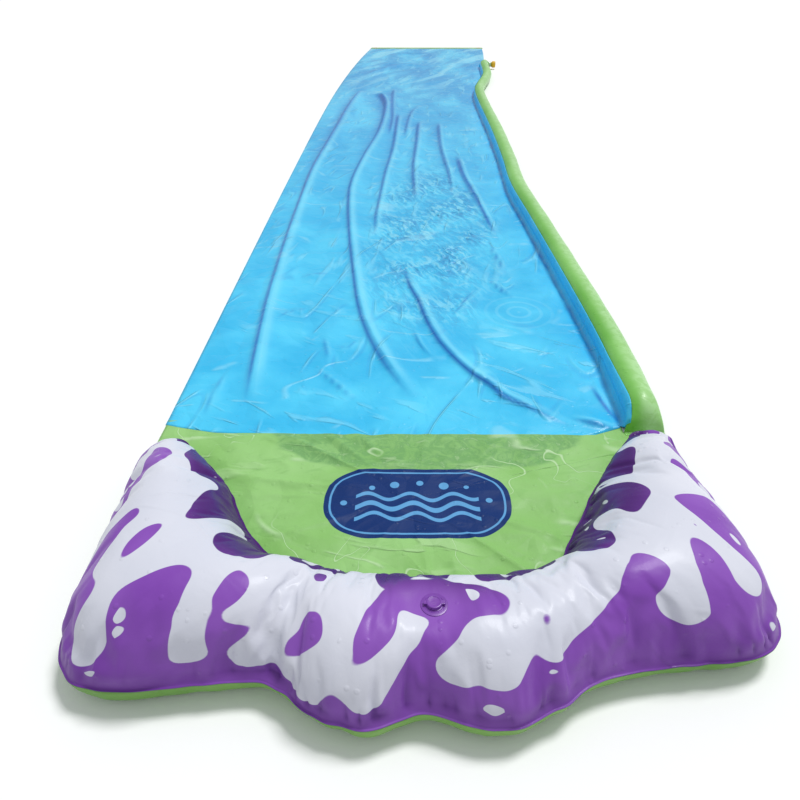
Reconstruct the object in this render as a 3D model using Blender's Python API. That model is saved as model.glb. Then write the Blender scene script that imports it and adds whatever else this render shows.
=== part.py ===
"""Water slide mat: a film lane with a water tube down one side, a splash pad and an inflatable bumper.

Metres, +Z up. The lane runs along +Y from the splash pad to the head edge, and the water tube is on its +X side.
The origin is on the underside of the slide sheet, midway between the bumper's front and the head edge.
"""

import math

import bmesh
import bpy
from mathutils import Matrix, Vector

# Clearances
GAP = 0.0003
RUNNING_GAP = 0.0004
SEAM_GAP = 0.0006

# Films
LANE_FILM = 0.0004
PAD_FILM = 0.0004
HEM_FILM = 0.0004
SKIN = 0.0004
TUBE_WALL = 0.0006

# Lane
LANE_LENGTH = 4.44
LANE_WIDTH = 0.718
LANE_CENTRE_X = 0.004
LAP = 0.016
LAP_RAMP = 0.020
HEAD_ROWS = 4

# How far the lane's two sides lie from straight, as (share of the lane's length, share of its width towards +X)
LEFT_SIDE = (
    (0.0, 0.000),
    (0.3, 0.003),
    (0.55, 0.017),
    (0.72, 0.053),
    (0.87, 0.109),
    (1.0, 0.178),
)
TUBE_SIDE = (
    (0.0, -0.003),
    (0.05, 0.003),
    (0.12, -0.010),
    (0.19, -0.028),
    (0.255, -0.045),
    (0.315, -0.032),
    (0.4, -0.021),
    (0.55, -0.017),
    (0.6, 0.000),
    (0.63, 0.033),
    (0.67, 0.085),
    (0.705, 0.118),
    (0.78, 0.145),
    (0.89, 0.205),
    (1.0, 0.251),
)

# The lane film's main folds, each down its crest as (share of the lane's length, share of the way across);
# a fold rises from flat at both ends over its run-out
FOLD_HEIGHT = 0.010
FOLD_WIDTH = 0.046
FOLD_RUNOUT = 0.30
FOLDS = (
    ((0.01, 0.17), (0.07, 0.13), (0.18, 0.11), (0.31, 0.10), (0.38, 0.12), (0.50, 0.15), (0.63, 0.20)),
    ((0.015, 0.56), (0.045, 0.48), (0.09, 0.39), (0.17, 0.34), (0.27, 0.31), (0.42, 0.385), (0.60, 0.32)),
    ((0.01, 0.775), (0.035, 0.665), (0.08, 0.59), (0.14, 0.535), (0.19, 0.57), (0.26, 0.60), (0.54, 0.635)),
)

# Head hem and its stake eyelets
HEM_DEPTH = 0.060
HEM_LAP = 0.015
EYELET_HOLE_R = 0.0070
EYELET_BARREL = 0.0008
EYELET_FLANGE_R = 0.0135
EYELET_FLANGE = 0.0008
EYELET_INSET = 0.030

# Water tube
TUBE_R = 0.0245
TUBE_OUTSET = 0.006
TUBE_ROWS = 24
TUBE_SIDES = 14
TUBE_START = 0.002
TUBE_LENGTH = 3.53
TUBE_END_TAPER = 0.045
TUBE_END_HEIGHT = 0.22
TUBE_END_SPREAD = 1.25
INLET_SETBACK = 0.055
# The slide sheet's margin runs up the tube's inner flank as far as this many of the tube's sides past its widest
FLANK_SIDES = 1
FLANK_FOOT = 0.005
SHEET_FLATTENING = 0.012

# Hose inlet, along its own axis from the tube's outer wall
NECK_R = 0.0105
NECK_WALL = 0.0006
NECK_INSIDE = 0.007
NECK_OUTSIDE = 0.0155
BAND_START = 0.0045
BAND_WIDTH = 0.0065
BAND_THICKNESS = 0.0014
WATERWAY_R = 0.0062
TAIL_INSIDE = 0.005
BARB = 0.0006
COLLAR_R = 0.0130
COLLAR_LENGTH = 0.0025
SHANK_R = 0.0090
SHANK_LENGTH = 0.0048
HEAD_R = 0.0118
HEAD_LENGTH = 0.0022
NUT_R = 0.0172
NUT_BORE_R = 0.0134
NUT_FLOOR = 0.0026
THREAD_DEPTH = 0.0100
NUT_RIB = 0.0009
NUT_RIBS = 12
SCREEN_THICKNESS = 0.0008
SCREEN_MESH = 0.0030
SCREEN_WIRE = 0.0010
SCREEN_CELLS = 3
WASHER_THICKNESS = 0.0025
WASHER_HOLE_R = 0.0074
SEAL_CLEARANCE = 0.0006

# Bumper: ribs across it from the left arm's tip round to the right arm's, each as (outer x, outer reach, inner x,
# inner reach, crest height); x is a share of half the width, reach a share of the greatest reach forward from the
# lane's near edge, and crest a share of the greatest height
BUMPER_WIDTH = 0.738
BUMPER_CENTRE_X = 0.0265
BUMPER_REACH = 0.464
BUMPER_HEIGHT = 0.104
RIBS = (
    (-0.983, 0.160, -0.860, 0.172, 0.430),
    (-1.005, 0.260, -0.785, 0.222, 0.640),
    (-0.998, 0.430, -0.668, 0.338, 0.835),
    (-0.988, 0.625, -0.590, 0.450, 0.955),
    (-0.969, 0.821, -0.534, 0.522, 1.000),
    (-0.909, 0.899, -0.480, 0.575, 1.000),
    (-0.782, 0.922, -0.412, 0.608, 0.971),
    (-0.573, 0.909, -0.335, 0.628, 0.913),
    (-0.400, 0.903, -0.263, 0.640, 0.808),
    (-0.272, 0.972, -0.188, 0.652, 0.885),
    (-0.142, 1.000, -0.100, 0.658, 0.885),
    (0.001, 0.966, 0.000, 0.660, 0.885),
    (0.188, 1.000, 0.118, 0.660, 0.885),
    (0.324, 0.959, 0.217, 0.657, 0.885),
    (0.470, 0.888, 0.322, 0.642, 0.885),
    (0.687, 0.860, 0.412, 0.603, 0.942),
    (0.877, 0.841, 0.468, 0.537, 0.990),
    (0.974, 0.772, 0.522, 0.462, 0.990),
    (0.978, 0.582, 0.600, 0.355, 0.923),
    (0.954, 0.323, 0.692, 0.238, 0.779),
    (0.956, 0.118, 0.812, 0.110, 0.430),
)
LEFT_TIP = (-0.918, 0.126)
RIGHT_TIP = (0.888, 0.078)
RIB_STEPS = 2
PUCKER = 0.0035
PUCKER_SHARE = 0.24
SEAM_HEIGHT = 0.030
WELD_LIP = 0.004
# Places across a rib where the skins bend; the wide middle strip is flat, which seats the valve
ACROSS = (0.04, 0.12, 0.23, 0.38, 0.62, 0.77, 0.88, 0.96)
CREST_ROUNDNESS = 2.2
CREST_FULLNESS = 0.62
BELLY_FULLNESS = 0.16

# Air valve, on the bumper's crest
VALVE_X = 0.036
VALVE_COLLAR_R = 0.0130
VALVE_COLLAR = 0.0012
STEM_R = 0.0058
STEM_BORE_R = 0.0044
STEM_LENGTH = 0.0155
STEM_FLANGE_R = 0.0076
STEM_FLANGE = 0.0012
STEM_LIP_R = 0.0070
STEM_LIP = 0.0010
PLUG_R = 0.0074
PLUG_CAP = 0.0016
PLUG_SPIGOT = 0.0042
PLUG_TIP_R = 0.0033
PLUG_SLACK = 0.0005
TETHER_REACH = 0.0100
TETHER_WIDTH = 0.0040
TETHER_THICKNESS = 0.0008
FLAP_R = 0.0054
FLAP_THICKNESS = 0.0006
FLAP_HINGE = 0.0062

TURN_STEPS = 24

# Places worked out from the sizes above
HEAD_Y = (LANE_LENGTH + BUMPER_REACH) / 2
NEAR_Y = HEAD_Y - LANE_LENGTH
HEM_Y = HEAD_Y - HEM_DEPTH
SHEET_HEAD_Y = HEM_Y + HEM_LAP
TUBE_LINE_X = LANE_CENTRE_X + LANE_WIDTH / 2 + TUBE_OUTSET
TUBE_Y0 = NEAR_Y + TUBE_START
TUBE_Y1 = TUBE_Y0 + TUBE_LENGTH
INLET_Y = TUBE_Y1 - INLET_SETBACK


def clear_scene():
    for obj in list(bpy.data.objects):
        bpy.data.objects.remove(obj)


def finish_material(name, colour, roughness, metallic=0.0):
    made = bpy.data.materials.new(name)
    made.use_nodes = True
    shader = made.node_tree.nodes["Principled BSDF"]
    shader.inputs["Base Color"].default_value = (*colour, 1.0)
    shader.inputs["Roughness"].default_value = roughness
    shader.inputs["Metallic"].default_value = metallic
    made.diffuse_color = (*colour, 1.0)
    return made


def add_object(name, bm, material, smooth_angle=None):
    """A bmesh as a named object with outward faces; smooth_angle shades the rounder edges smooth."""
    bmesh.ops.recalc_face_normals(bm, faces=bm.faces)
    mesh = bpy.data.meshes.new(name)
    bm.to_mesh(mesh)
    bm.free()
    if smooth_angle is not None:
        mesh.shade_smooth()
        mesh.set_sharp_from_angle(angle=math.radians(smooth_angle))
    obj = bpy.data.objects.new(name, mesh)
    if material:
        mesh.materials.append(material)
    bpy.context.scene.collection.objects.link(obj)
    return obj


def hide_helper(obj):
    obj.hide_render = True
    obj.display_type = "WIRE"
    return obj


def cut_or_join(obj, helper, operation):
    hide_helper(helper)
    change = obj.modifiers.new(helper.name, "BOOLEAN")
    change.operation = operation
    change.object = helper
    change.solver = "EXACT"


def through_points(points, share):
    """Catmull-Rom value at a share of the way along a list of tuples, equal steps between them."""
    spans = len(points) - 1
    place = min(max(share, 0.0), 1.0) * spans
    i = min(int(place), spans - 1)
    t = place - i
    before, start, end, after = (points[min(max(k, 0), spans)] for k in (i - 1, i, i + 1, i + 2))
    return tuple(
        0.5 * (2 * b + (c - a) * t + (2 * a - 5 * b + 4 * c - d) * t**2 + (3 * b - a - 3 * c + d) * t**3)
        for a, b, c, d in zip(before, start, end, after)
    )


def lane_share(y):
    return (y - NEAR_Y) / LANE_LENGTH


def along_lane(places, y):
    """Value at y on a smooth curve through places listed as (share of the lane's length, value)."""
    last = len(places) - 1
    share = min(max(lane_share(y), places[0][0]), places[last][0])
    i = next(k for k in range(last) if share <= places[k + 1][0] or k == last - 1)

    def slope(k):
        low, high = places[max(k - 1, 0)], places[min(k + 1, last)]
        return (high[1] - low[1]) / (high[0] - low[0])

    (s0, d0), (s1, d1) = places[i], places[i + 1]
    span = s1 - s0
    t = (share - s0) / span
    bend = (1 - t) * slope(i) - t * slope(i + 1) + (2 * t - 1) * (d1 - d0) / span
    return d0 + (d1 - d0) * t + span * t * (1 - t) * bend


def left_x(y):
    return LANE_CENTRE_X - LANE_WIDTH / 2 + LANE_WIDTH * along_lane(LEFT_SIDE, y)


def tube_x(y):
    return TUBE_LINE_X + LANE_WIDTH * along_lane(TUBE_SIDE, y)


def loft(bm, rings):
    """Closed rings of points joined in turn, with a face over each end; all diagonals run the same way."""
    rows = [[bm.verts.new(p) for p in ring] for ring in rings]
    count = len(rows[0])
    for a, b in zip(rows, rows[1:]):
        for k in range(count):
            n = (k + 1) % count
            bm.faces.new((a[k], a[n], b[n]))
            bm.faces.new((a[k], b[n], b[k]))
    bm.faces.new(rows[0])
    bm.faces.new(rows[-1])


def turned_mesh(profile, steps=TURN_STEPS):
    """A closed outline of (radius, height) points turned about the local Z axis."""
    bm = bmesh.new()
    verts = [bm.verts.new((r, 0.0, h)) for r, h in profile]
    edges = [bm.edges.new((a, b)) for a, b in zip(verts, verts[1:] + verts[:1])]
    bmesh.ops.spin(
        bm, geom=verts + edges, cent=(0, 0, 0), axis=(0, 0, 1), angle=2 * math.pi, steps=steps, use_merge=True
    )
    bmesh.ops.remove_doubles(bm, verts=bm.verts, dist=1e-6)
    return bm


def block_mesh(low, high):
    bm = bmesh.new()
    bmesh.ops.create_cube(bm, size=1.0)
    centre = (Vector(low) + Vector(high)) / 2
    size = Vector(high) - Vector(low)
    for vert in bm.verts:
        vert.co = Vector(c * s for c, s in zip(vert.co, size)) + centre
    return bm


def rod_cutter(name, radius, low, high, steps=TURN_STEPS):
    """A plain rod along the local Z axis, for cutting round holes."""
    bm = bmesh.new()
    bmesh.ops.create_cone(
        bm, cap_ends=True, segments=steps, radius1=radius, radius2=radius, depth=high - low,
        matrix=Matrix.Translation((0, 0, (low + high) / 2)),
    )
    return hide_helper(add_object(name, bm, None))


# Lane and head hem


def lap_height(y):
    """Height of the slide sheet's underside: on the ground, but over the splash pad's edge at its near end."""
    past = (y - NEAR_Y - LAP) / LAP_RAMP
    return (PAD_FILM + GAP) * (1 - min(max(past, 0.0), 1.0))


def lane_places():
    """Places along the lane where its sections are, shared by the slide sheet and the water tube."""
    taper = [TUBE_END_TAPER * t for t in (0.0, 0.12, 0.36, 0.68)]
    places = [TUBE_Y0 + t for t in taper] + [TUBE_Y1 - t for t in taper]
    run = TUBE_LENGTH - 2 * TUBE_END_TAPER
    places += [TUBE_Y0 + TUBE_END_TAPER + run * k / TUBE_ROWS for k in range(TUBE_ROWS + 1)]
    flat = TUBE_Y1 + SHEET_FLATTENING
    places += [flat + (SHEET_HEAD_Y - flat) * k / HEAD_ROWS for k in range(HEAD_ROWS + 1)]
    return sorted(places + [NEAR_Y, NEAR_Y + LAP, NEAR_Y + LAP + LAP_RAMP])


def tube_height_share(y):
    """Share of the tube's full height at y: both ends are pressed towards a flat weld."""
    inward = min(y - TUBE_Y0, TUBE_Y1 - y) / TUBE_END_TAPER
    t = min(max(inward, 0.0), 1.0)
    return TUBE_END_HEIGHT + (1 - TUBE_END_HEIGHT) * math.sqrt(1 - (1 - t) ** 2)


def tube_corner(y, k, inset):
    """Corner k of the tube's section, counted from its foot towards +X; it rests on a flat side."""
    share = tube_height_share(y)
    spread = TUBE_END_SPREAD - (TUBE_END_SPREAD - 1) * share
    side = math.pi / TUBE_SIDES
    angle = -math.pi / 2 + side * (2 * k + 1)
    x = tube_x(y) + (TUBE_R * spread - inset) * math.cos(angle)
    z = TUBE_R * share + (TUBE_R * share - inset) * math.sin(angle) / math.cos(side)
    return x, z


def flank_path(y):
    """The sheet's underside at its tube side, from the ground up the tube's flank, as (x, z) points."""
    widest = TUBE_SIDES - TUBE_SIDES // 4 - 1
    upper = [tube_corner(y, widest - k, -GAP) for k in range(FLANK_SIDES + 1)]
    foot_x, foot_z = upper[0]
    low = lap_height(y)
    rise = min(FLANK_FOOT, foot_z * 0.6)
    return [(foot_x - FLANK_FOOT, low), (foot_x - FLANK_FOOT * 0.3, low + rise * 0.25), (foot_x, low + rise), *upper]


def spread_flat(path):
    """The same margin laid out flat on the ground, with its lengths kept."""
    x = path[0][0]
    flat = [(x, 0.0)]
    for (x0, z0), (x1, z1) in zip(path, path[1:]):
        x += math.hypot(x1 - x0, z1 - z0)
        flat.append((x, 0.0))
    return flat


def offset_path(path, distance):
    """A copy of an open (x, z) path moved to its left by a distance, with its corners mitred."""
    runs = [Vector((x1 - x0, z1 - z0)).normalized() for (x0, z0), (x1, z1) in zip(path, path[1:])]
    moved = []
    for (x, z), before, after in zip(path, [runs[0], *runs], [*runs, runs[-1]]):
        mean = (before + after).normalized()
        reach = distance / max(mean.dot(before), 0.5)
        moved.append((x - mean.y * reach, z + mean.x * reach))
    return moved


def fold_section(y, left, right):
    """The folds' feet and crests across the flat of the lane at y, as (x, z) points."""
    points = []
    for fold in FOLDS:
        crest = left + (right - left) * along_lane(fold, y)
        inward = LANE_LENGTH * min(lane_share(y) - fold[0][0], fold[-1][0] - lane_share(y))
        t = min(max(inward / FOLD_RUNOUT, 0.0), 1.0)
        rise = FOLD_HEIGHT * t * t * (3 - 2 * t)
        for side, share in ((-0.5, 0.0), (0.0, 1.0), (0.5, 0.0)):
            points.append((crest + side * FOLD_WIDTH, lap_height(y) + rise * share))
    return points


def sheet_section(y):
    """Underside of the slide sheet across the lane at y, as (x, z) points from its free edge to the tube's flank."""
    beyond = y > TUBE_Y1 + SHEET_FLATTENING / 2
    margin = spread_flat(flank_path(TUBE_Y1 - TUBE_END_TAPER)) if beyond else flank_path(y)
    if beyond:
        shift = tube_x(y) - tube_x(TUBE_Y1 - TUBE_END_TAPER)
        margin = [(x + shift, z) for x, z in margin]
    left = left_x(y)
    return [(left, lap_height(y)), *fold_section(y, left, margin[0][0]), *margin]


def head_right_x(y):
    return sheet_section(y)[-1][0]


def make_slide_sheet(material):
    bm = bmesh.new()
    rings = []
    for y in lane_places():
        under = sheet_section(y)
        over = offset_path(under, LANE_FILM)
        rings.append([(x, y, z) for x, z in [*over, *reversed(under)]])
    loft(bm, rings)
    return add_object("slide_sheet", bm, material, 50)


def eyelet_places():
    y = HEAD_Y - (HEM_DEPTH - HEM_LAP) / 2
    return {
        "left_eyelet": (left_x(y) + EYELET_INSET, y),
        "right_eyelet": (head_right_x(y) - EYELET_INSET, y),
    }


def make_head_hem(material):
    under = LANE_FILM + GAP
    bm = bmesh.new()
    rings = []
    for y in (HEM_Y, HEAD_Y):
        left, right = left_x(y), head_right_x(y)
        top = under + HEM_FILM
        rings.append([(left, y, under), (right, y, under), (right, y, top), (left, y, top)])
    loft(bm, rings)
    hem = add_object("head_hem", bm, material)
    for name, (x, y) in eyelet_places().items():
        hole = rod_cutter(name + "_hole", EYELET_HOLE_R + EYELET_BARREL + GAP, -0.01, 0.01)
        hole.location = (x, y, 0)
        cut_or_join(hem, hole, "DIFFERENCE")
    return hem


def make_eyelets(material):
    barrel_r = EYELET_HOLE_R + EYELET_BARREL
    clinch = LANE_FILM
    hem_top = LANE_FILM + GAP + HEM_FILM
    top = hem_top + GAP + EYELET_FLANGE
    profile = [
        (EYELET_HOLE_R, 0.0),
        (EYELET_FLANGE_R * 0.86, 0.0),
        (EYELET_FLANGE_R * 0.86, clinch),
        (barrel_r, clinch),
        (barrel_r, hem_top + GAP),
        (EYELET_FLANGE_R, hem_top + GAP),
        (EYELET_FLANGE_R - EYELET_FLANGE / 2, top),
        (EYELET_HOLE_R, top),
    ]
    for name, (x, y) in eyelet_places().items():
        eyelet = add_object(name, turned_mesh(profile), material, 40)
        eyelet.location = (x, y, 0)


# Water tube


def tube_body(inset):
    """The tube's outer shape, or with an inset its bore, as a closed loft."""
    bm = bmesh.new()
    rings = []
    for place in lane_places():
        if TUBE_Y0 <= place <= TUBE_Y1:
            y = min(max(place, TUBE_Y0 + inset), TUBE_Y1 - inset)
            corners = [tube_corner(place, k, inset) for k in range(TUBE_SIDES)]
            rings.append([(x, y, z) for x, z in corners])
    loft(bm, rings)
    return bm


def make_water_tube(material):
    tube = add_object("water_tube", tube_body(0.0), material, 50)
    cut_or_join(tube, add_object("tube_bore", tube_body(TUBE_WALL), None), "DIFFERENCE")
    hole = rod_cutter("inlet_hole", NECK_R + GAP, 0.0, TUBE_R * 1.5)
    hole.rotation_euler = (0, math.pi / 2, 0)
    hole.location = (tube_x(INLET_Y), INLET_Y, TUBE_R)
    cut_or_join(tube, hole, "DIFFERENCE")
    return tube


# Hose inlet


def inlet_frame():
    """An empty on the inlet's axis at the tube's outer wall; its local Z points out of the tube, along +X."""
    frame = bpy.data.objects.new("inlet_axis", None)
    frame.location = (tube_x(INLET_Y) + TUBE_R, INLET_Y, TUBE_R)
    frame.rotation_euler = (0, math.pi / 2, 0)
    bpy.context.scene.collection.objects.link(frame)
    return frame


def make_inlet(film, plastic, steel, rubber):
    frame = inlet_frame()
    neck_in = NECK_R - NECK_WALL
    neck = [(NECK_R, -NECK_INSIDE), (NECK_R, NECK_OUTSIDE), (neck_in, NECK_OUTSIDE), (neck_in, -NECK_INSIDE)]
    band_in = NECK_R + GAP
    band_out = band_in + BAND_THICKNESS
    band_end = BAND_START + BAND_WIDTH
    edge = BAND_THICKNESS / 3
    band = [
        (band_in, BAND_START),
        (band_out - edge, BAND_START),
        (band_out, BAND_START + edge),
        (band_out, band_end - edge),
        (band_out - edge, band_end),
        (band_in, band_end),
    ]
    tail_r = neck_in - GAP
    collar = NECK_OUTSIDE + GAP
    shank = collar + COLLAR_LENGTH
    head = shank + SHANK_LENGTH
    face = head + HEAD_LENGTH
    barbs = [(tail_r - BARB, -TAIL_INSIDE)]
    for k in range(3):
        start = -TAIL_INSIDE + (collar + TAIL_INSIDE) * k / 3
        end = -TAIL_INSIDE + (collar + TAIL_INSIDE) * (k + 0.8) / 3
        barbs += [(tail_r - BARB, start), (tail_r, end), (tail_r - BARB, end)]
    spigot = [
        (WATERWAY_R, -TAIL_INSIDE),
        *barbs[1:],
        (tail_r - BARB, collar),
        (COLLAR_R, collar),
        (COLLAR_R, shank),
        (SHANK_R, shank),
        (SHANK_R, head),
        (HEAD_R, head),
        (HEAD_R, face),
        (WATERWAY_R, face),
    ]
    nut_back = head - RUNNING_GAP - NUT_FLOOR
    screen = face + GAP
    washer = screen + SCREEN_THICKNESS + GAP
    seat = washer + WASHER_THICKNESS
    mouth = seat + THREAD_DEPTH
    bevel = NUT_RIB
    nut = [
        (SHANK_R + RUNNING_GAP, nut_back),
        (NUT_R - bevel, nut_back),
        (NUT_R, nut_back + bevel),
        (NUT_R, mouth - bevel),
        (NUT_R - bevel, mouth),
        (NUT_BORE_R, mouth),
        (NUT_BORE_R, head - RUNNING_GAP),
        (SHANK_R + RUNNING_GAP, head - RUNNING_GAP),
    ]
    ring_r = NUT_BORE_R - SEAL_CLEARANCE
    ring = [
        (WASHER_HOLE_R, washer),
        (ring_r, washer),
        (ring_r, seat),
        (WASHER_HOLE_R, seat),
    ]
    made = {
        "inlet_neck": add_object("inlet_neck", turned_mesh(neck), film, 40),
        "clamp_band": add_object("clamp_band", turned_mesh(band), steel, 40),
        "hose_spigot": add_object("hose_spigot", turned_mesh(spigot), plastic, 40),
        "swivel_nut": add_object("swivel_nut", ribbed_nut(nut), plastic, 30),
        "hose_washer": add_object("hose_washer", turned_mesh(ring), rubber, 40),
        "filter_screen": add_object("filter_screen", screen_mesh(screen, ring_r), steel),
    }
    for obj in made.values():
        obj.parent = frame
    return made


def ribbed_nut(profile):
    """The nut's turned body with grip ribs: every other pair of outer points stands proud."""
    bm = turned_mesh(profile, NUT_RIBS * 4)
    for vert in bm.verts:
        r = math.hypot(vert.co.x, vert.co.y)
        if r < NUT_R - NUT_RIB * 1.5:
            continue
        turn = math.atan2(vert.co.y, vert.co.x) / (2 * math.pi) * NUT_RIBS * 4
        if round(turn) % 4 in (2, 3):
            vert.co.x *= (r - NUT_RIB) / r
            vert.co.y *= (r - NUT_RIB) / r
    return bm


def screen_mesh(height, radius):
    """The filter screen: a disc with a square grid of openings over the waterway."""
    bm = bmesh.new()
    pitch = SCREEN_MESH + SCREEN_WIRE
    half = pitch * SCREEN_CELLS / 2
    lines = [-half]
    for k in range(SCREEN_CELLS):
        left = -half + pitch * k + SCREEN_WIRE / 2
        lines += [left, left + SCREEN_MESH]
    lines.append(half)
    grid = {(i, j): bm.verts.new((x, y, height)) for i, x in enumerate(lines) for j, y in enumerate(lines)}
    count = len(lines) - 1
    for i in range(count):
        for j in range(count):
            if i % 2 == 0 or j % 2 == 0:
                bm.faces.new((grid[i, j], grid[i + 1, j], grid[i + 1, j + 1], grid[i, j + 1]))
    around = [grid[i, 0] for i in range(count)] + [grid[count, j] for j in range(count)]
    around += [grid[i, count] for i in range(count, 0, -1)] + [grid[0, j] for j in range(count, 0, -1)]
    rim = []
    for vert in around:
        angle = math.atan2(vert.co.y, vert.co.x)
        rim.append(bm.verts.new((radius * math.cos(angle), radius * math.sin(angle), height)))
    for k in range(len(around)):
        n = (k + 1) % len(around)
        bm.faces.new((around[k], around[n], rim[n], rim[k]))
    sheet = list(bm.faces)
    solid = bmesh.ops.extrude_face_region(bm, geom=sheet)
    raised = [v for v in solid["geom"] if isinstance(v, bmesh.types.BMVert)]
    bmesh.ops.translate(bm, verts=raised, vec=(0, 0, SCREEN_THICKNESS))
    return bm


# Bumper skins


def crest_share(u):
    """How much of the crest's height the upper skin has at a place across a rib."""
    return max(1 - abs(2 * u - 1) ** CREST_ROUNDNESS, 0.0) ** CREST_FULLNESS


def belly_share(u):
    """How much of the way down to the floor the lower skin has come at a place across a rib."""
    edge = min(u, 1 - u) / BELLY_FULLNESS
    return math.sqrt(max(1 - (1 - min(edge, 1.0)) ** 2, 0.0))


def bumper_rib(share):
    """Outer point, inner point and crest height of the rib at a share of the way round the bumper."""
    outer_x, outer_reach, inner_x, inner_reach, crest = through_points(RIBS, share)
    return plan_point(outer_x, outer_reach), plan_point(inner_x, inner_reach), crest * BUMPER_HEIGHT


def bumper_ribs():
    """The listed ribs with smooth ones between them."""
    count = (len(RIBS) - 1) * RIB_STEPS
    return [bumper_rib(k / count) for k in range(count + 1)]


def plan_point(x_share, reach_share, z=0.0):
    return Vector((BUMPER_CENTRE_X + x_share * BUMPER_WIDTH / 2, NEAR_Y - reach_share * BUMPER_REACH, z))


def skin_surface(lip_z, height_at):
    """One skin of the bumper as an open sheet: the dome between the welds and the flat weld lip round it.

    Between the listed ribs the skin is drawn in next to the welds, which puckers it as air does.
    """
    bm = bmesh.new()
    rows = []
    for k, (outer, inner, crest) in enumerate(bumper_ribs()):
        drawn = PUCKER if k % RIB_STEPS else 0.0
        row = []
        for u in (0.0, *ACROSS, 1.0):
            z = height_at(u, crest)
            edge = 1 - min(min(u, 1 - u) / PUCKER_SHARE, 1.0)
            z += max(-1.0, min(1.0, (lip_z - z) / PUCKER)) * drawn * edge
            place = outer.lerp(inner, u)
            row.append(bm.verts.new((place.x, place.y, z)))
        rows.append(row)
    tips = [bm.verts.new(plan_point(*tip, lip_z)) for tip in (LEFT_TIP, RIGHT_TIP)]
    for a, b in zip(rows, rows[1:]):
        for k in range(len(a) - 1):
            bm.faces.new((a[k], b[k], b[k + 1], a[k + 1]))
    for tip, row in zip(tips, (rows[0], rows[-1])):
        for k in range(len(row) - 1):
            bm.faces.new((tip, row[k], row[k + 1]))
    edge = [tips[0]] + [row[0] for row in rows] + [tips[1]] + [row[-1] for row in reversed(rows)]
    count = len(edge)
    lip = []
    for k, vert in enumerate(edge):
        along = (edge[(k + 1) % count].co - edge[k - 1].co).normalized()
        out = Vector((along.y, -along.x, 0))
        lip.append(bm.verts.new(vert.co + out * WELD_LIP))
    for k in range(count):
        n = (k + 1) % count
        bm.faces.new((edge[k], lip[k], lip[n], edge[n]))
    return bm


def thicken_inward(obj, thickness):
    wall = obj.modifiers.new("film", "SOLIDIFY")
    wall.thickness = thickness
    wall.offset = -1.0
    wall.use_even_offset = True


def make_bumper(print_film, base_film):
    top_lip = SEAM_HEIGHT + SEAM_GAP / 2 + SKIN
    base_lip = SEAM_HEIGHT - SEAM_GAP / 2 - SKIN
    floor = PAD_FILM + GAP

    def upper(u, crest):
        return top_lip + (crest - top_lip) * crest_share(u)

    def lower(u, crest):
        return base_lip + (floor - base_lip) * belly_share(u)

    top = add_object("bumper_top_skin", skin_surface(top_lip, upper), print_film, 60)
    base = add_object("bumper_base_skin", skin_surface(base_lip, lower), base_film, 60)
    up = Vector((0, 0, 1))
    for obj, facing in ((top, up), (base, -up)):
        if sum(p.normal.dot(facing) * p.area for p in obj.data.polygons) < 0:
            obj.data.flip_normals()
        thicken_inward(obj, SKIN)
    hole = rod_cutter("valve_hole", STEM_R + RUNNING_GAP + GAP, -0.01, 0.01)
    hole.location = valve_centre()
    cut_or_join(top, hole, "DIFFERENCE")
    return top, base


def valve_centre():
    """The middle of the upper skin's flat crest at the valve's x, where its collar is welded."""
    low, high = 0.0, 1.0
    for _ in range(40):
        share = (low + high) / 2
        outer, inner, crest = bumper_rib(share)
        middle = (outer + inner) / 2
        if middle.x < VALVE_X:
            low = share
        else:
            high = share
    top_lip = SEAM_HEIGHT + SEAM_GAP / 2 + SKIN
    return Vector((VALVE_X, middle.y, top_lip + (crest - top_lip) * crest_share(ACROSS[3])))


def make_splash_pad(material):
    """The pad between the bumper's arms; its edge lies under the bumper, along the middle of its ribs."""
    lapped = NEAR_Y + LAP - GAP * 2
    right = tube_x(NEAR_Y) - TUBE_R * TUBE_END_SPREAD - GAP
    outline = [Vector((left_x(NEAR_Y), lapped, 0)), plan_point(*LEFT_TIP)]
    outline += [(outer + inner) / 2 for outer, inner, _ in bumper_ribs()[1:-1]]
    outline += [Vector((right, plan_point(*RIGHT_TIP).y, 0)), Vector((right, lapped, 0))]
    bm = bmesh.new()
    face = bm.faces.new([bm.verts.new(point) for point in outline])
    solid = bmesh.ops.extrude_face_region(bm, geom=[face])
    raised = [v for v in solid["geom"] if isinstance(v, bmesh.types.BMVert)]
    bmesh.ops.translate(bm, verts=raised, vec=(0, 0, PAD_FILM))
    bmesh.ops.triangulate(bm, faces=[f for f in bm.faces if len(f.verts) > 4])
    return add_object("splash_pad", bm, material)


# Air valve


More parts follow.
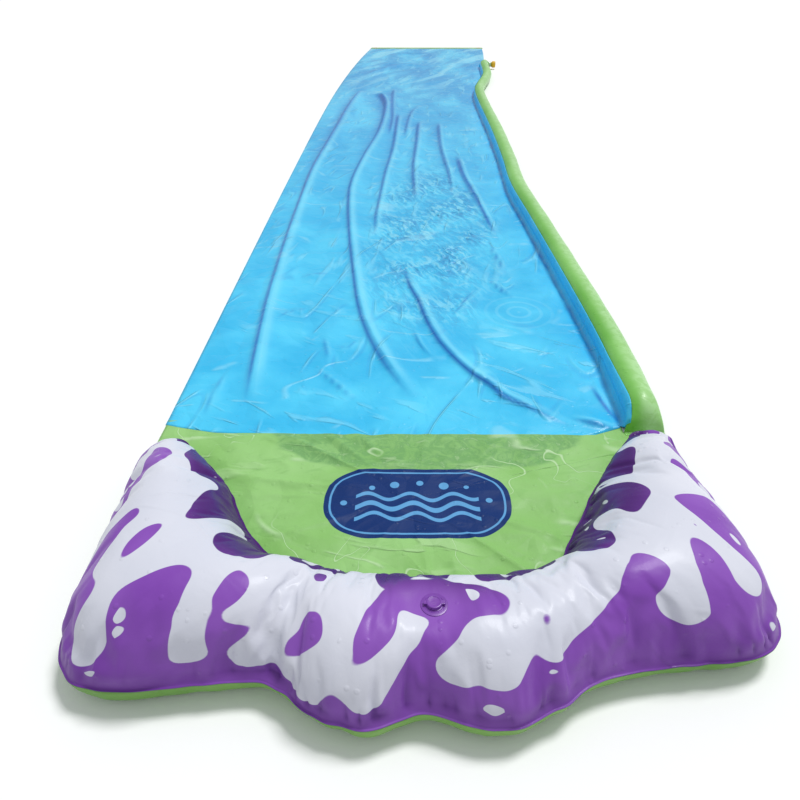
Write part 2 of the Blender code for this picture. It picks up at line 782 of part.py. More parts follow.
def make_valve(soft_plastic):
    centre = valve_centre()
    hole_r = STEM_R + RUNNING_GAP
    collar_top = GAP + VALVE_COLLAR
    collar = [
        (hole_r, GAP),
        (VALVE_COLLAR_R, GAP),
        (VALVE_COLLAR_R - VALVE_COLLAR / 2, collar_top),
        (hole_r, collar_top),
    ]
    flange_low = collar_top + GAP
    flange_top = flange_low + STEM_FLANGE
    foot = flange_low - STEM_LENGTH
    stem = [
        (STEM_BORE_R, foot),
        (STEM_LIP_R, foot),
        (STEM_LIP_R, foot + STEM_LIP),
        (STEM_R, foot + STEM_LIP),
        (STEM_R, flange_low),
        (STEM_FLANGE_R, flange_low),
        (STEM_FLANGE_R, flange_top),
        (STEM_BORE_R, flange_top),
    ]
    cap_low = flange_top + GAP
    spigot_r = STEM_BORE_R - PLUG_SLACK
    plug = [
        (0.0, cap_low - PLUG_SPIGOT),
        (PLUG_TIP_R, cap_low - PLUG_SPIGOT),
        (spigot_r, cap_low),
        (PLUG_R, cap_low),
        (PLUG_R, cap_low + PLUG_CAP * 0.6),
        (PLUG_R * 0.86, cap_low + PLUG_CAP),
        (0.0, cap_low + PLUG_CAP * 1.1),
    ]
    ring = add_object("valve_collar", turned_mesh(collar), soft_plastic, 40)
    ring.location = centre
    body = add_object("valve_stem", turned_mesh(stem), soft_plastic, 40)
    body.location = centre
    half = TETHER_WIDTH / 2
    tab = block_mesh(
        (STEM_FLANGE_R * 0.8, -half, flange_low), (TETHER_REACH - GAP, half, flange_top)
    )
    tab = add_object("stem_tab", tab, None)
    tab.location = centre
    cut_or_join(body, tab, "UNION")
    hinge = bpy.data.objects.new("plug_hinge", None)
    hinge.location = centre + Vector((TETHER_REACH, 0, flange_top + GAP / 2))
    bpy.context.scene.collection.objects.link(hinge)
    stopper = add_object("valve_plug", turned_mesh(plug), soft_plastic, 40)
    strap = block_mesh((PLUG_R * 0.8, -half, cap_low), (TETHER_REACH, half, cap_low + TETHER_THICKNESS))
    strap = add_object("plug_strap", strap, None)
    for obj in (stopper, strap):
        obj.parent = hinge
        obj.location = centre - hinge.location
    cut_or_join(stopper, strap, "UNION")
    flap_top = foot - GAP
    disc = bmesh.new()
    outline = [Vector((-FLAP_HINGE, -FLAP_R * 0.5, 0)), Vector((-FLAP_HINGE, FLAP_R * 0.5, 0))]
    arc = [k * math.pi / 12 for k in range(-9, 10)]
    outline = [Vector((FLAP_R * math.cos(a), FLAP_R * math.sin(a), 0)) for a in arc] + outline[::-1]
    face = disc.faces.new([disc.verts.new(p) for p in outline])
    solid = bmesh.ops.extrude_face_region(disc, geom=[face])
    lowered = [v for v in solid["geom"] if isinstance(v, bmesh.types.BMVert)]
    bmesh.ops.translate(disc, verts=lowered, vec=(0, 0, -FLAP_THICKNESS))
    for vert in disc.verts:
        vert.co.x += FLAP_HINGE
    flap = add_object("check_flap", disc, soft_plastic)
    flap.location = centre + Vector((-FLAP_HINGE, 0, flap_top))


def main():
    clear_scene()
    blue = finish_material("lane_blue", (0.09, 0.56, 0.88), 0.28)
    green = finish_material("film_green", (0.26, 0.56, 0.12), 0.30)
    hem = finish_material("hem_green", (0.42, 0.60, 0.14), 0.35)
    purple = finish_material("print_purple", (0.27, 0.08, 0.45), 0.25)
    yellow = finish_material("fitting_yellow", (0.88, 0.66, 0.05), 0.35)
    steel = finish_material("plain_steel", (0.62, 0.63, 0.64), 0.30, 1.0)
    rubber = finish_material("washer_rubber", (0.03, 0.03, 0.03), 0.60)
    brass = finish_material("eyelet_brass", (0.72, 0.55, 0.25), 0.30, 1.0)
    clear = finish_material("valve_vinyl", (0.33, 0.14, 0.50), 0.20)
    make_slide_sheet(blue)
    make_head_hem(hem)
    make_eyelets(brass)
    make_water_tube(green)
    make_inlet(green, yellow, steel, rubber)
    make_splash_pad(green)
    make_bumper(purple, green)
    make_valve(clear)


main()
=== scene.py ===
# Water slide mat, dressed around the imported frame. Metres, +Z up, the lane runs along +Y away from the camera.
import math

import bmesh
import bpy
import numpy as np
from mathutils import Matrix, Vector


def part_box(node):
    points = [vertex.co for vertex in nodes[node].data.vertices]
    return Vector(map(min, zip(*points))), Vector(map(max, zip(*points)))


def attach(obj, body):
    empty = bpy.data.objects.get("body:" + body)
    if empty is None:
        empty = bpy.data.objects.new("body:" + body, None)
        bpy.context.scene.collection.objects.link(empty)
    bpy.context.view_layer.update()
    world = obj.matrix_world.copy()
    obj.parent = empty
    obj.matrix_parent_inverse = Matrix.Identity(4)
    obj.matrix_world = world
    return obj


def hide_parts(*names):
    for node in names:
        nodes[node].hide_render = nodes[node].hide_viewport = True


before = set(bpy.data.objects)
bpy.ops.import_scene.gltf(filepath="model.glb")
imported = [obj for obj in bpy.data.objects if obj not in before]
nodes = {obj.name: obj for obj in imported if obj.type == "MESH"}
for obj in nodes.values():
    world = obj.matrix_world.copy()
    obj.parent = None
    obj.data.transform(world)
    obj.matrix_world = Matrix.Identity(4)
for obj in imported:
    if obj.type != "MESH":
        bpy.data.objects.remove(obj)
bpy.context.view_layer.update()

print("frame loaded:", len(nodes), "nodes")


# Camera, floor and light

view = {"lens": 29.1, "sensor": 36.0, "place": (0.0063, -2.7525, 0.5976), "pitch": 54.87, "turn": 0.36}
studio = {
    "floorSize": 60.0,
    "floorDrop": 0.0008,
    "floorColour": (0.70, 0.70, 0.71),
    "floorSeen": (1.0, 1.0, 1.0),
    "sunFrom": (0.30, 0.32, 0.899),
    "sunStrength": 1.98,
    "sunSpread": 16.0,
    "skyColour": (0.94, 0.97, 1.0),
    "skyStrength": 0.50,
}


def placeCamera():
    camera = bpy.data.objects.new("camera", bpy.data.cameras.new("camera"))
    bpy.context.scene.collection.objects.link(camera)
    camera.data.sensor_width = view["sensor"]
    camera.data.lens = view["lens"]
    camera.data.clip_start = 0.01
    camera.location = view["place"]
    camera.rotation_euler = (math.radians(view["pitch"]), 0.0, math.radians(view["turn"]))
    bpy.context.scene.camera = camera


def lightScene():
    sun = bpy.data.objects.new("sun", bpy.data.lights.new("sun", "SUN"))
    bpy.context.scene.collection.objects.link(sun)
    sun.data.energy = studio["sunStrength"]
    sun.data.angle = math.radians(studio["sunSpread"])
    sun.rotation_euler = Vector(studio["sunFrom"]).to_track_quat("Z", "Y").to_euler()
    world = bpy.data.worlds.new("studio")
    bpy.context.scene.world = world
    world.use_nodes = True
    tree = world.node_tree
    sky = tree.nodes["Background"]
    sky.inputs["Color"].default_value = (*studio["skyColour"], 1.0)
    sky.inputs["Strength"].default_value = studio["skyStrength"]
    white = tree.nodes.new("ShaderNodeBackground")
    white.inputs["Color"].default_value = (1.0, 1.0, 1.0, 1.0)
    seen = tree.nodes.new("ShaderNodeLightPath")
    pick = tree.nodes.new("ShaderNodeMixShader")
    tree.links.new(seen.outputs["Is Camera Ray"], pick.inputs["Fac"])
    tree.links.new(sky.outputs[0], pick.inputs[1])
    tree.links.new(white.outputs[0], pick.inputs[2])
    tree.links.new(pick.outputs[0], tree.nodes["World Output"].inputs["Surface"])


def layFloor():
    bpy.ops.object.select_all(action="DESELECT")
    bpy.ops.mesh.primitive_plane_add(size=studio["floorSize"], location=(0.0, 0.0, -studio["floorDrop"]))
    floor = bpy.context.object
    floor.name = "floor"
    finish = bpy.data.materials.new("floorWhite")
    finish.use_nodes = True
    tree = finish.node_tree
    shader = tree.nodes["Principled BSDF"]
    shader.inputs["Roughness"].default_value = 0.9
    shader.inputs["Specular IOR Level"].default_value = 0.0
    seen = tree.nodes.new("ShaderNodeLightPath")
    share = seen.outputs["Is Camera Ray"]
    for ray in ("Is Glossy Ray", "Is Transmission Ray"):
        either = tree.nodes.new("ShaderNodeMath")
        either.operation = "MAXIMUM"
        tree.links.new(share, either.inputs[0])
        tree.links.new(seen.outputs[ray], either.inputs[1])
        share = either.outputs[0]
    pick = tree.nodes.new("ShaderNodeMix")
    pick.data_type = "RGBA"
    pick.inputs[6].default_value = (*studio["floorColour"], 1.0)
    pick.inputs[7].default_value = (*studio["floorSeen"], 1.0)
    tree.links.new(share, pick.inputs[0])
    tree.links.new(pick.outputs[2], shader.inputs["Base Color"])
    floor.data.materials.append(finish)


placeCamera()
lightScene()
layFloor()
bpy.context.scene.view_settings.view_transform = "Standard"
print("camera, light and floor set")


# Shader maths: a socket that takes Python's operators, and a finish that is built from such sockets


class Wire:
    def __init__(self, finish, socket):
        self.finish = finish
        self.socket = socket

    def maths(self, operation, *values, clamp=False):
        settings = {"operation": operation, "use_clamp": clamp}
        return self.finish.node("ShaderNodeMath", settings, dict(enumerate(values)))

    def __add__(self, other):
        return self.maths("ADD", self, other)

    def __radd__(self, other):
        return self.maths("ADD", other, self)

    def __sub__(self, other):
        return self.maths("SUBTRACT", self, other)

    def __rsub__(self, other):
        return self.maths("SUBTRACT", other, self)

    def __mul__(self, other):
        return self.maths("MULTIPLY", self, other)

    def __rmul__(self, other):
        return self.maths("MULTIPLY", other, self)

    def __abs__(self):
        return self.maths("ABSOLUTE", self)

    def power(self, exponent):
        return self.maths("POWER", self, exponent)

    def cosine(self):
        return self.maths("COSINE", self)

    def least(self, other):
        return self.maths("MINIMUM", self, other)

    def most(self, other):
        return self.maths("MAXIMUM", self, other)

    def between(self, low, high):  # 0 below low, 1 above high, smooth between; falls if low is above high
        ends = (low, high, 0.0, 1.0) if low < high else (high, low, 1.0, 0.0)
        names = ("From Min", "From Max", "To Min", "To Max")
        settings = {"interpolation_type": "SMOOTHSTEP"}
        return self.finish.node("ShaderNodeMapRange", settings, {"Value": self, **dict(zip(names, ends))})


class Finish:
    def __init__(self, name):
        self.material = bpy.data.materials.new(name)
        self.material.use_nodes = True
        self.tree = self.material.node_tree
        self.shader = self.tree.nodes["Principled BSDF"]
        self.place = self.node("ShaderNodeTexCoord", output="Object")

    def node(self, kind, settings=None, inputs=None, output=0):
        made = self.tree.nodes.new(kind)
        for key, value in (settings or {}).items():
            setattr(made, key, value)
        for key, value in (inputs or {}).items():
            self.feed(made.inputs[key], value)
        return Wire(self, made.outputs[output])

    def feed(self, socket, value):
        if isinstance(value, Wire):
            self.tree.links.new(value.socket, socket)
        elif isinstance(value, tuple) and len(value) == 3 and socket.type == "RGBA":
            socket.default_value = (*value, 1.0)
        else:
            socket.default_value = value

    def give(self, **values):  # values for the shader's own sockets, with their spaces left out
        for key, value in values.items():
            name = next(s.name for s in self.shader.inputs if s.name.replace(" ", "") == key)
            self.feed(self.shader.inputs[name], value)

    def attribute(self, name):
        return self.node("ShaderNodeAttribute", {"attribute_name": name}, output="Fac")

    def spot(self, x, y, z=0.0):
        return self.node("ShaderNodeCombineXYZ", inputs={0: x, 1: y, 2: z})

    def stretched(self, scale):  # the place with each axis scaled, which stretches a pattern
        return self.node("ShaderNodeVectorMath", {"operation": "MULTIPLY"}, {0: self.place, 1: scale})

    def slanted(self, degrees, scale):  # the place turned about the vertical, then stretched
        inputs = {"Vector": self.place, "Rotation": (0.0, 0.0, math.radians(degrees)), "Scale": scale}
        return self.node("ShaderNodeMapping", {"vector_type": "TEXTURE"}, inputs)

    def axis(self, name):
        return self.node("ShaderNodeSeparateXYZ", inputs={0: self.place}, output=name)

    def cloudy(self, scale, detail=2.0, rough=0.5, warp=0.0, place=None):
        inputs = {"Vector": place or self.place, "Scale": scale, "Detail": detail, "Roughness": rough}
        return self.node("ShaderNodeTexNoise", None, {**inputs, "Distortion": warp}, output="Fac")

    def cells(self, scale, place=None, output="Distance", jitter=1.0):
        inputs = {"Vector": place or self.place, "Scale": scale, "Randomness": jitter}
        return self.node("ShaderNodeTexVoronoi", None, inputs, output=output)

    def blend(self, share, first, second):
        made = self.tree.nodes.new("ShaderNodeMix")
        made.data_type = "RGBA"
        for index, value in {0: share, 6: first, 7: second}.items():
            self.feed(made.inputs[index], value)
        return Wire(self, made.outputs[2])

    def tones(self, share, pair):  # from the pair's first screen colour to its second
        return self.blend(share, linear(*pair[0]), linear(*pair[1]))

    def layered(self, base, *layers):  # each layer is how much of it shows and its screen colour
        for share, colour in layers:
            base = self.blend(share, base, linear(*colour))
        return base

    def raised(self, height, depth):  # the normal of a height from 0 to 1 that stands up by depth
        inputs = {"Height": height, "Distance": depth, "Strength": 1.0}
        return self.node("ShaderNodeBump", None, inputs, output="Normal")

    def crumple(self, scale, place=None):  # small tents with sharp valleys between them, as in creased film
        inputs = {"Vector": place or self.place, "Scale": scale}
        return self.node("ShaderNodeTexVoronoi", {"feature": "DISTANCE_TO_EDGE"}, inputs, output="Distance")

    def warped(self, scale, reach):  # the place pushed about by a cloud
        inputs = {"Vector": self.place, "Scale": scale, "Detail": 2.0}
        push = self.node("ShaderNodeTexNoise", None, inputs, output="Color")
        inputs = {0: push, 1: (reach,) * 3, 2: self.place}
        return self.node("ShaderNodeVectorMath", {"operation": "MULTIPLY_ADD"}, inputs)

    def part(self, colour, index):
        return self.node("ShaderNodeSeparateColor", inputs={0: colour}, output=index)

    def drops(self, scale, share, size):  # round drops of water on a share of the cells, as a height
        pick = self.part(self.cells(scale, output="Color"), 0)
        return self.cells(scale).between(size, size * 0.35) * pick.between(1.0 - share, 1.0 - share * 0.8)

    def pressedLines(self, scale, slant, stretch, patches, width):  # fine creases, as their dark and light sides
        cloud = self.cloudy(scale, 0.0, 0.4, 0.0, self.slanted(slant, stretch)) - 0.5
        kept = self.cloudy(patches, 1.0, 0.5, 0.0, self.stretched((1.0, 0.6, 1.0))).between(0.50, 0.62)
        return [abs(cloud + width * side).between(width, 0.0) * kept for side in (0.7, -0.7)]

    def trickles(self, scale, width, warp, place=None):  # thin meandering lines, where a cloud crosses its middle
        cloud = self.cloudy(scale, 1.0, 0.4, warp, place)
        return abs(cloud - 0.5).between(width, 0.0)


def linear(red, green, blue):  # a colour picked on screen, 0 to 255, as shader values
    def straight(value):
        share = value / 255.0
        return share / 12.92 if share <= 0.04045 else ((share + 0.055) / 1.055) ** 2.4

    return tuple(straight(v) for v in (red, green, blue))


def spanOf(a, b):
    return (a * a + b * b).power(0.5)


# Films. Each look adds to the plain one, and its colours are the two that the film's clouds run between.

filmLooks = {
    "plain": {"mottle": (0.3, 0.7), "crinkle": 0.5, "drops": 0.12, "lines": 0.5, "rough": 0.30, "coat": 0.12,
              "shine": 0.35, "creased": False, "pressed": False, "slant": -30.0},
    "laneBlue": {"colours": ((48, 190, 240), (80, 212, 252)), "mottle": (0.35, 0.7), "crinkle": 0.6, "lines": 1.0,
                 "creased": True, "pressed": True},
    "tubeGreen": {"colours": ((116, 192, 74), (138, 208, 100)), "lines": 0.2},
    "padGreen": {"colours": ((140, 194, 108), (158, 208, 130)), "drops": 0.2, "lines": 1.0, "rough": 0.40,
                 "coat": 0.04, "shine": 0.2, "creased": True, "slant": -12.0},
    "baseGreen": {"colours": ((112, 168, 66), (134, 188, 88)), "crinkle": 0.4, "lines": 0.1},
    "printPurple": {"colours": ((130, 70, 176), (150, 94, 194)), "crinkle": 0.3, "rough": 0.32, "coat": 0.07,
                    "shine": 0.22},
    "hemGreen": {"colours": ((158, 196, 96), (176, 210, 120)), "lines": 0.0},
    "neckFilm": {"colours": ((132, 196, 100), (152, 212, 126)), "crinkle": 0.4, "lines": 0.0},
}
filmRelief = 0.0012


def wetFilm(name, colour=None):
    look = {**filmLooks["plain"], **filmLooks[name]}
    finish = Finish(name)
    finish.clouds = finish.cloudy(7.0, 3.0, 0.55)
    finish.fine = finish.cloudy(60.0, 4.0, 0.62, 0.6)
    soft = finish.cloudy(16.0, 2.0, 0.5, 1.2)
    broken = finish.cloudy(11.0, 2.0, 0.5).between(0.50, 0.60)
    finish.water = finish.trickles(6.0, 0.020, 0.4, finish.stretched((0.6, 1.4, 1.0))) * broken * look["lines"]
    wet = finish.drops(120.0, look["drops"], 0.40)
    height = soft + finish.fine * look["crinkle"] + finish.water * 0.8 + wet * 0.35
    if look["creased"]:
        height = height + creases(finish, look["slant"], look["pressed"])
    base = finish.tones(finish.clouds.between(*look["mottle"]), look["colours"])
    finish.give(
        BaseColor=colour(finish, base) if colour else base,
        Roughness=look["rough"] + finish.clouds * 0.12 + finish.fine * 0.06 - wet * 0.08,
        CoatWeight=look["coat"] * (0.4 + 0.6 * finish.clouds) + 0.3 * finish.water + 0.2 * wet,
        Normal=finish.raised(height, filmRelief),
    )
    finish.give(CoatRoughness=0.12, SpecularIORLevel=look["shine"])
    return finish.material


def creases(finish, slant, pressed):  # their height: large all over, small ones and nicks where the film is busy
    calm = finish.cloudy(4.2, 2.0, 0.5).between(0.42, 0.58)
    marks = finish.cloudy(30.0, 2.0, 0.5, 0.8, finish.slanted(slant, (3.2, 0.9, 1.0)))
    finish.marks = marks.between(0.56, 0.68) * calm
    ridges = finish.marks
    if pressed:
        away = finish.axis("Y").between(-1.75, -1.25)
        long = finish.cloudy(26.0, 2.0, 0.5, 0.4, finish.slanted(-9.0, (0.8, 4.2, 1.0)))
        finish.marks = finish.marks * (1.0 - away) + long.between(0.55, 0.66) * calm * away
        finish.nicks = finish.cloudy(66.0, 3.0, 0.6, 0.8, finish.slanted(24.0, (0.9, 3.0, 1.0)))
        finish.pressed = finish.pressedLines(18.0, -14.0, (1.0, 4.0, 1.0), 11.0, 0.034)
        ridges = finish.marks + finish.pressed[1]
    else:
        finish.nicks = finish.cloudy(46.0, 3.0, 0.6, 1.0, finish.slanted(-slant * 1.4, (2.4, 1.0, 1.0)))
    big = finish.crumple(13.0, finish.warped(9.0, 0.10))
    small = finish.crumple(30.0, finish.warped(18.0, 0.06))
    return big * 5.0 + ridges * 1.6 + (small * 8.0 + finish.nicks * 2.5) * finish.attribute("busy")


laneColours = {
    # the head end's duller, mottled blue, painted in part for the sky's sheen on the far film
    "head": ((60, 166, 226), (100, 210, 250)),
    "headFade": (-1.8, 1.2),
    "silkLight": (156, 232, 252),
    "silkShade": (48, 142, 208),
    "busyShade": (70, 170, 222),
    "nickShade": (50, 144, 204),
    "nickLight": (146, 230, 252),
    "pressedShade": (52, 158, 222),
    "pressedLight": (140, 230, 255),
    "glint": (150, 232, 255),
    # water lines: real water, painted lighter as painted sheen
    "water": (150, 230, 254),
    # painted highlight and painted shade beside the folds
    "ridge": (136, 230, 255),
    "crease": (22, 112, 200),
    # painted light on the margin up the tube's side, which lies in shade
    "flank": (70, 204, 255),
    # painted shade in the crease at the tube's foot
    "foot": (14, 108, 206),
}


def laneColour(finish, near):
    tone = laneColours
    y = finish.axis("Y")
    mottled = finish.cloudy(5.0, 4.0, 0.62, 0.4, finish.stretched((1.0, 0.30, 1.0)))
    head = finish.tones(mottled.between(0.40, 0.64), tone["head"])
    silk = finish.cloudy(9.0, 2.0, 0.5, 0.6, finish.slanted(-27.0, (0.9, 5.0, 1.0)))
    ripples = y.between(0.35, 1.5)
    busy = finish.attribute("busy")
    dark, light = finish.pressed
    ringX, ringY, pace = lane["rings"]
    fromRings = spanOf(finish.axis("X") - ringX, y - ringY)
    rings = (fromRings * (2 * math.pi / pace)).cosine().between(0.2, 1.0) * fromRings.between(0.105, 0.03)
    return finish.layered(
        # towards the head the film turns to a duller, mottled blue, painted in part for the sky's sheen on the far
        # film
        finish.blend(y.between(*tone["headFade"]) * 0.85, near, head),
        (silk.between(0.50, 0.64) * ripples * 0.60, tone["silkLight"]),
        (silk.between(0.48, 0.34) * ripples * 0.42, tone["silkShade"]),
        (busy * finish.clouds.between(0.60, 0.40) * 0.35, tone["busyShade"]),
        (busy * finish.nicks.between(0.49, 0.40) * 0.65, tone["nickShade"]),
        (busy * finish.nicks.between(0.52, 0.60) * 0.70, tone["nickLight"]),
        (dark * 0.36, tone["pressedShade"]),
        (light * 0.36, tone["pressedLight"]),
        # painted glints on the ripple rings and on the raised marks
        (rings * 0.22, tone["glint"]),
        (finish.marks * 0.35, tone["glint"]),
        # water lines: real water, painted lighter as painted sheen
        (finish.water * 0.4, tone["water"]),
        # painted highlight and painted shade beside each fold
        (finish.attribute("ridge") * 0.55, tone["ridge"]),
        (finish.attribute("crease") * 0.95, tone["crease"]),
        # painted light on the margin up the tube's side, which lies in shade
        (finish.attribute("flank"), tone["flank"]),
        # painted shade in the crease at the tube's foot
        (finish.attribute("foot"), tone["foot"]),
    )


def tubeColour(finish, inner):  # the upper outer side, which faces the sun, is painted paler: painted light
    outer = finish.tones(finish.fine.between(0.40, 0.60), ((166, 216, 140), (184, 230, 164)))
    return finish.blend(finish.attribute("outer"), inner, outer)


padColours = {
    "soaked": (112, 166, 100),
    "soakedGlint": (170, 204, 150),
    "glint": (186, 224, 164),
    # painted shade in the small nicks
    "nick": (112, 170, 88),
    # water lines and trails: real water, painted lighter as painted sheen, with a painted shade edge along the
    # trails
    "water": (200, 232, 182),
    "trailShade": (112, 176, 84),
    "trail": (206, 234, 188),
    "badge": ((0, 46, 110), (96, 164, 216)),
}


def padColour(finish, base):
    tone = padColours
    crinkled = finish.cloudy(42.0, 4.0, 0.66, 1.6)
    soaked = finish.attribute("soaked")
    wander = finish.warped(14.0, 0.05)
    left = finish.cloudy(6.0, 2.0, 0.5).between(0.46, 0.54)
    inside, lighter = badgeFields(finish.axis("X"), finish.axis("Y"))
    film = finish.layered(
        base,
        (soaked * (0.40 + 0.45 * crinkled.between(0.38, 0.58)), tone["soaked"]),
        (soaked * crinkled.between(0.60, 0.66) * 0.5, tone["soakedGlint"]),
        (finish.marks * 0.45, tone["glint"]),
        # painted shade in the small nicks
        (finish.nicks.between(0.46, 0.36) * finish.clouds.between(0.4, 0.6) * 0.22, tone["nick"]),
        # water lines and trails: real water, painted lighter as painted sheen, with a painted shade edge along the
        # trails
        (finish.water * 0.55, tone["water"]),
        (finish.trickles(9.0, 0.022, 1.0, wander) * left * 0.35, tone["trailShade"]),
        (finish.trickles(9.0, 0.009, 1.0, wander) * left * 0.75, tone["trail"]),
    )
    return finish.blend(inside, film, finish.tones(lighter, tone["badge"]))


def badgeFields(objectX, objectY):  # 1 inside the badge, and 1 in its lighter inner line, waves and drops
    x, y = objectX - pad["badgeCentre"][0], objectY - pad["badgeCentre"][1]
    halfX, halfY = pad["badgeHalf"]
    corner = halfY * pad["badgeRound"]
    inset, lineHalf = pad["badgeLine"]
    waveLength, waveHeight, waveReach = pad["badgeWave"]
    outline = spanOf((abs(x) - (halfX - corner)).most(0.0), (abs(y) - (halfY - corner)).most(0.0)) - corner
    marks = abs(outline + inset) - lineHalf
    for height, turn, thick in pad["badgeWaves"]:
        wave = abs(y - height - (x * (2 * math.pi / waveLength) + turn).cosine() * waveHeight) * 0.8 - thick
        marks = marks.least(wave.most(abs(x) - halfX * waveReach))
    for dx, dy, size in pad["badgeDrops"]:
        marks = marks.least(spanOf(x - dx, y - dy) - size)
    return outline.between(0.0004, -0.0004), marks.between(0.0004, -0.0004)


def printColour(finish, base):
    pleat, room, inWhite = (finish.attribute(name) for name in ("pleat", "room", "splash"))
    # painted shade: the purple darkens near the welds and on the inner side that faces the pool
    purple = finish.layered(base, (finish.attribute("deep"), (72, 20, 108)), (pleat * 0.72, (80, 26, 122)))
    white = finish.tones(finish.clouds.between(0.35, 0.75), ((216, 218, 230), (227, 228, 238)))
    # painted shade in the pleats, on the purple above and on the white here
    white = finish.layered(white, (pleat * 0.40, (184, 186, 206)))
    clear = inWhite.between(-0.090, -0.040) * inWhite.between(-0.002, -0.009)
    inner = printDrops(finish, (30.0, 20.0), 0.50, inWhite.between(0.004, 0.018))
    outer = printDrops(finish, (36.0, 25.0), 0.60, clear * room)
    large = printDrops(finish, (21.0, 14.0), 0.92, inWhite.between(-0.004, -0.016) * room)
    inWhite = inWhite.least(0.0 - inner).most(outer).most(large)
    return finish.blend(inWhite.between(-0.0004, 0.0004), purple, white)


def printDrops(finish, scale, share, room):  # above 0 in the drops: one to a cell at most, of varying size
    along, across = finish.attribute("along"), finish.attribute("across")
    inputs = {"Vector": finish.spot(along, across), "Scale": 34.0, "Detail": 0.0}
    push = finish.node("ShaderNodeTexNoise", None, inputs, output="Color")
    x = along * scale[0] + finish.part(push, 0) * 0.5
    y = across * scale[1] + finish.part(push, 1) * 0.5
    place = finish.spot(x, y, scale[0])
    far = finish.cells(1.0, place, jitter=0.8)
    pick = finish.cells(1.0, place, "Color", 0.8)
    chosen = finish.part(pick, 0).between(1.0 - share, 1.01 - share)
    return ((0.12 + 0.26 * finish.part(pick, 1)) * chosen * room - 0.02 - far) * (1.0 / scale[0])


# Mesh helpers


def meshPiece(name, points, faces):
    mesh = bpy.data.meshes.new(name)
    mesh.from_pydata(np.asarray(points).reshape(-1, 3).tolist(), [], faces)
    mesh.validate()
    mesh.shade_smooth()
    piece = bpy.data.objects.new(name, mesh)
    bpy.context.scene.collection.objects.link(piece)
    return piece


def gridFaces(rows, columns, around=False, turned=False):
    k = np.arange(rows * columns).reshape(rows, columns)
    if around:
        k = np.concatenate([k, k[:, :1]], axis=1)
    corners = [k[:-1, :-1], k[:-1, 1:], k[1:, 1:], k[1:, :-1]]
    quads = np.stack(corners[::-1] if turned else corners, axis=-1).reshape(-1, 4)
    return quads.tolist()


def store(piece, name, values):
    made = piece.data.attributes.new(name, "FLOAT", "POINT")
    made.data.foreach_set("value", np.asarray(values, np.float32).ravel())


def readBack(piece, name):
    values = np.zeros(len(piece.data.vertices), np.float32)
    piece.data.attributes[name].data.foreach_get("value", values)
    return values.astype(float)


def cornersOf(piece):
    return np.array([v.co for v in piece.data.vertices])


def moveCorners(piece, co):
    piece.data.vertices.foreach_set("co", co.ravel())
    piece.data.update()


def selectOnly(piece):
    bpy.ops.object.select_all(action="DESELECT")
    bpy.context.view_layer.objects.active = piece
    piece.select_set(True)


def applyModifiers(piece):
    selectOnly(piece)
    for change in list(piece.modifiers):
        bpy.ops.object.modifier_apply(modifier=change.name)


def makeFiner(piece):
    finer = piece.modifiers.new("finer", "SUBSURF")
    finer.levels = finer.render_levels = 1
    applyModifiers(piece)


def thicken(piece, thickness, side=-1.0):
    wall = piece.modifiers.new("film", "SOLIDIFY")
    wall.thickness = thickness
    wall.offset = side
    applyModifiers(piece)


def combine(piece, tool, operation):  # cuts the tool out of the piece or joins it on, and takes the tool away
    change = piece.modifiers.new("combine", "BOOLEAN")
    change.operation = operation
    change.solver = "EXACT"
    change.object = tool
    applyModifiers(piece)
    bpy.data.objects.remove(tool)


def dress(piece, material, slot, body, *replaced):
    piece.data.materials.clear()
    piece.data.materials.append(material)
    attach(piece, body)
    if replaced:
        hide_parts(*replaced)
    return piece


def softNoise(x, y, cell, seed):  # smooth, from -1 to 1, on a lattice of that cell size
    table = np.random.default_rng(seed).uniform(-1.0, 1.0, (128, 128))
    gx, gy = x / cell + 640.0, y / cell + 640.0
    ix, iy = np.floor(gx).astype(int), np.floor(gy).astype(int)
    fx, fy = gx - ix, gy - iy
    fx, fy = fx * fx * (3 - 2 * fx), fy * fy * (3 - 2 * fy)
    a, b = table[ix % 128, iy % 128], table[(ix + 1) % 128, iy % 128]
    c, d = table[ix % 128, (iy + 1) % 128], table[(ix + 1) % 128, (iy + 1) % 128]
    return (a * (1 - fx) + b * fx) * (1 - fy) + (c * (1 - fx) + d * fx) * fy


def smooth(low, high, value):
    t = np.clip((value - low) / (high - low), 0.0, 1.0)
    return t * t * (3 - 2 * t)


def curveThrough(points, steps):  # Catmull-Rom through a list of points, with steps to each span
    p = np.asarray(points, float)
    p = np.vstack([2 * p[0] - p[1], p, 2 * p[-1] - p[-2]])
    made = []
    for a, b, c, d in zip(p, p[1:], p[2:], p[3:]):
        t = (np.arange(steps) / steps)[:, None]
        made.append(0.5 * (2 * b + (c - a) * t + (2 * a - 5 * b + 4 * c - d) * t**2
                           + (3 * b - a - 3 * c + d) * t**3))
    return np.vstack([*made, p[-2:-1]])


def stepsAlong(path):  # the distance along a line at each of its points
    return np.concatenate([[0.0], np.cumsum(np.linalg.norm(np.diff(path, axis=0), axis=1))])


# Where the lane's free side and the water tube run

plan = {
    "nearY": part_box("slide_sheet")[0].y,
    "sheetHeadY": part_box("slide_sheet")[1].y,
    "length": 4.44,
    "width": 0.718,
    "leftX": -0.355,
    "tubeX": 0.369,
    "leftDrift": ((0.0, 0.0), (0.3, 0.003), (0.55, 0.017), (0.72, 0.053), (0.87, 0.109), (1.0, 0.178)),
    "tubeDrift": (
        (0.0, -0.003), (0.05, 0.003), (0.12, -0.010), (0.19, -0.028), (0.255, -0.045), (0.315, -0.032),
        (0.4, -0.021), (0.55, -0.017), (0.6, 0.0), (0.63, 0.033), (0.67, 0.085), (0.705, 0.118),
        (0.78, 0.145), (0.89, 0.205), (1.0, 0.251),
    ),
}


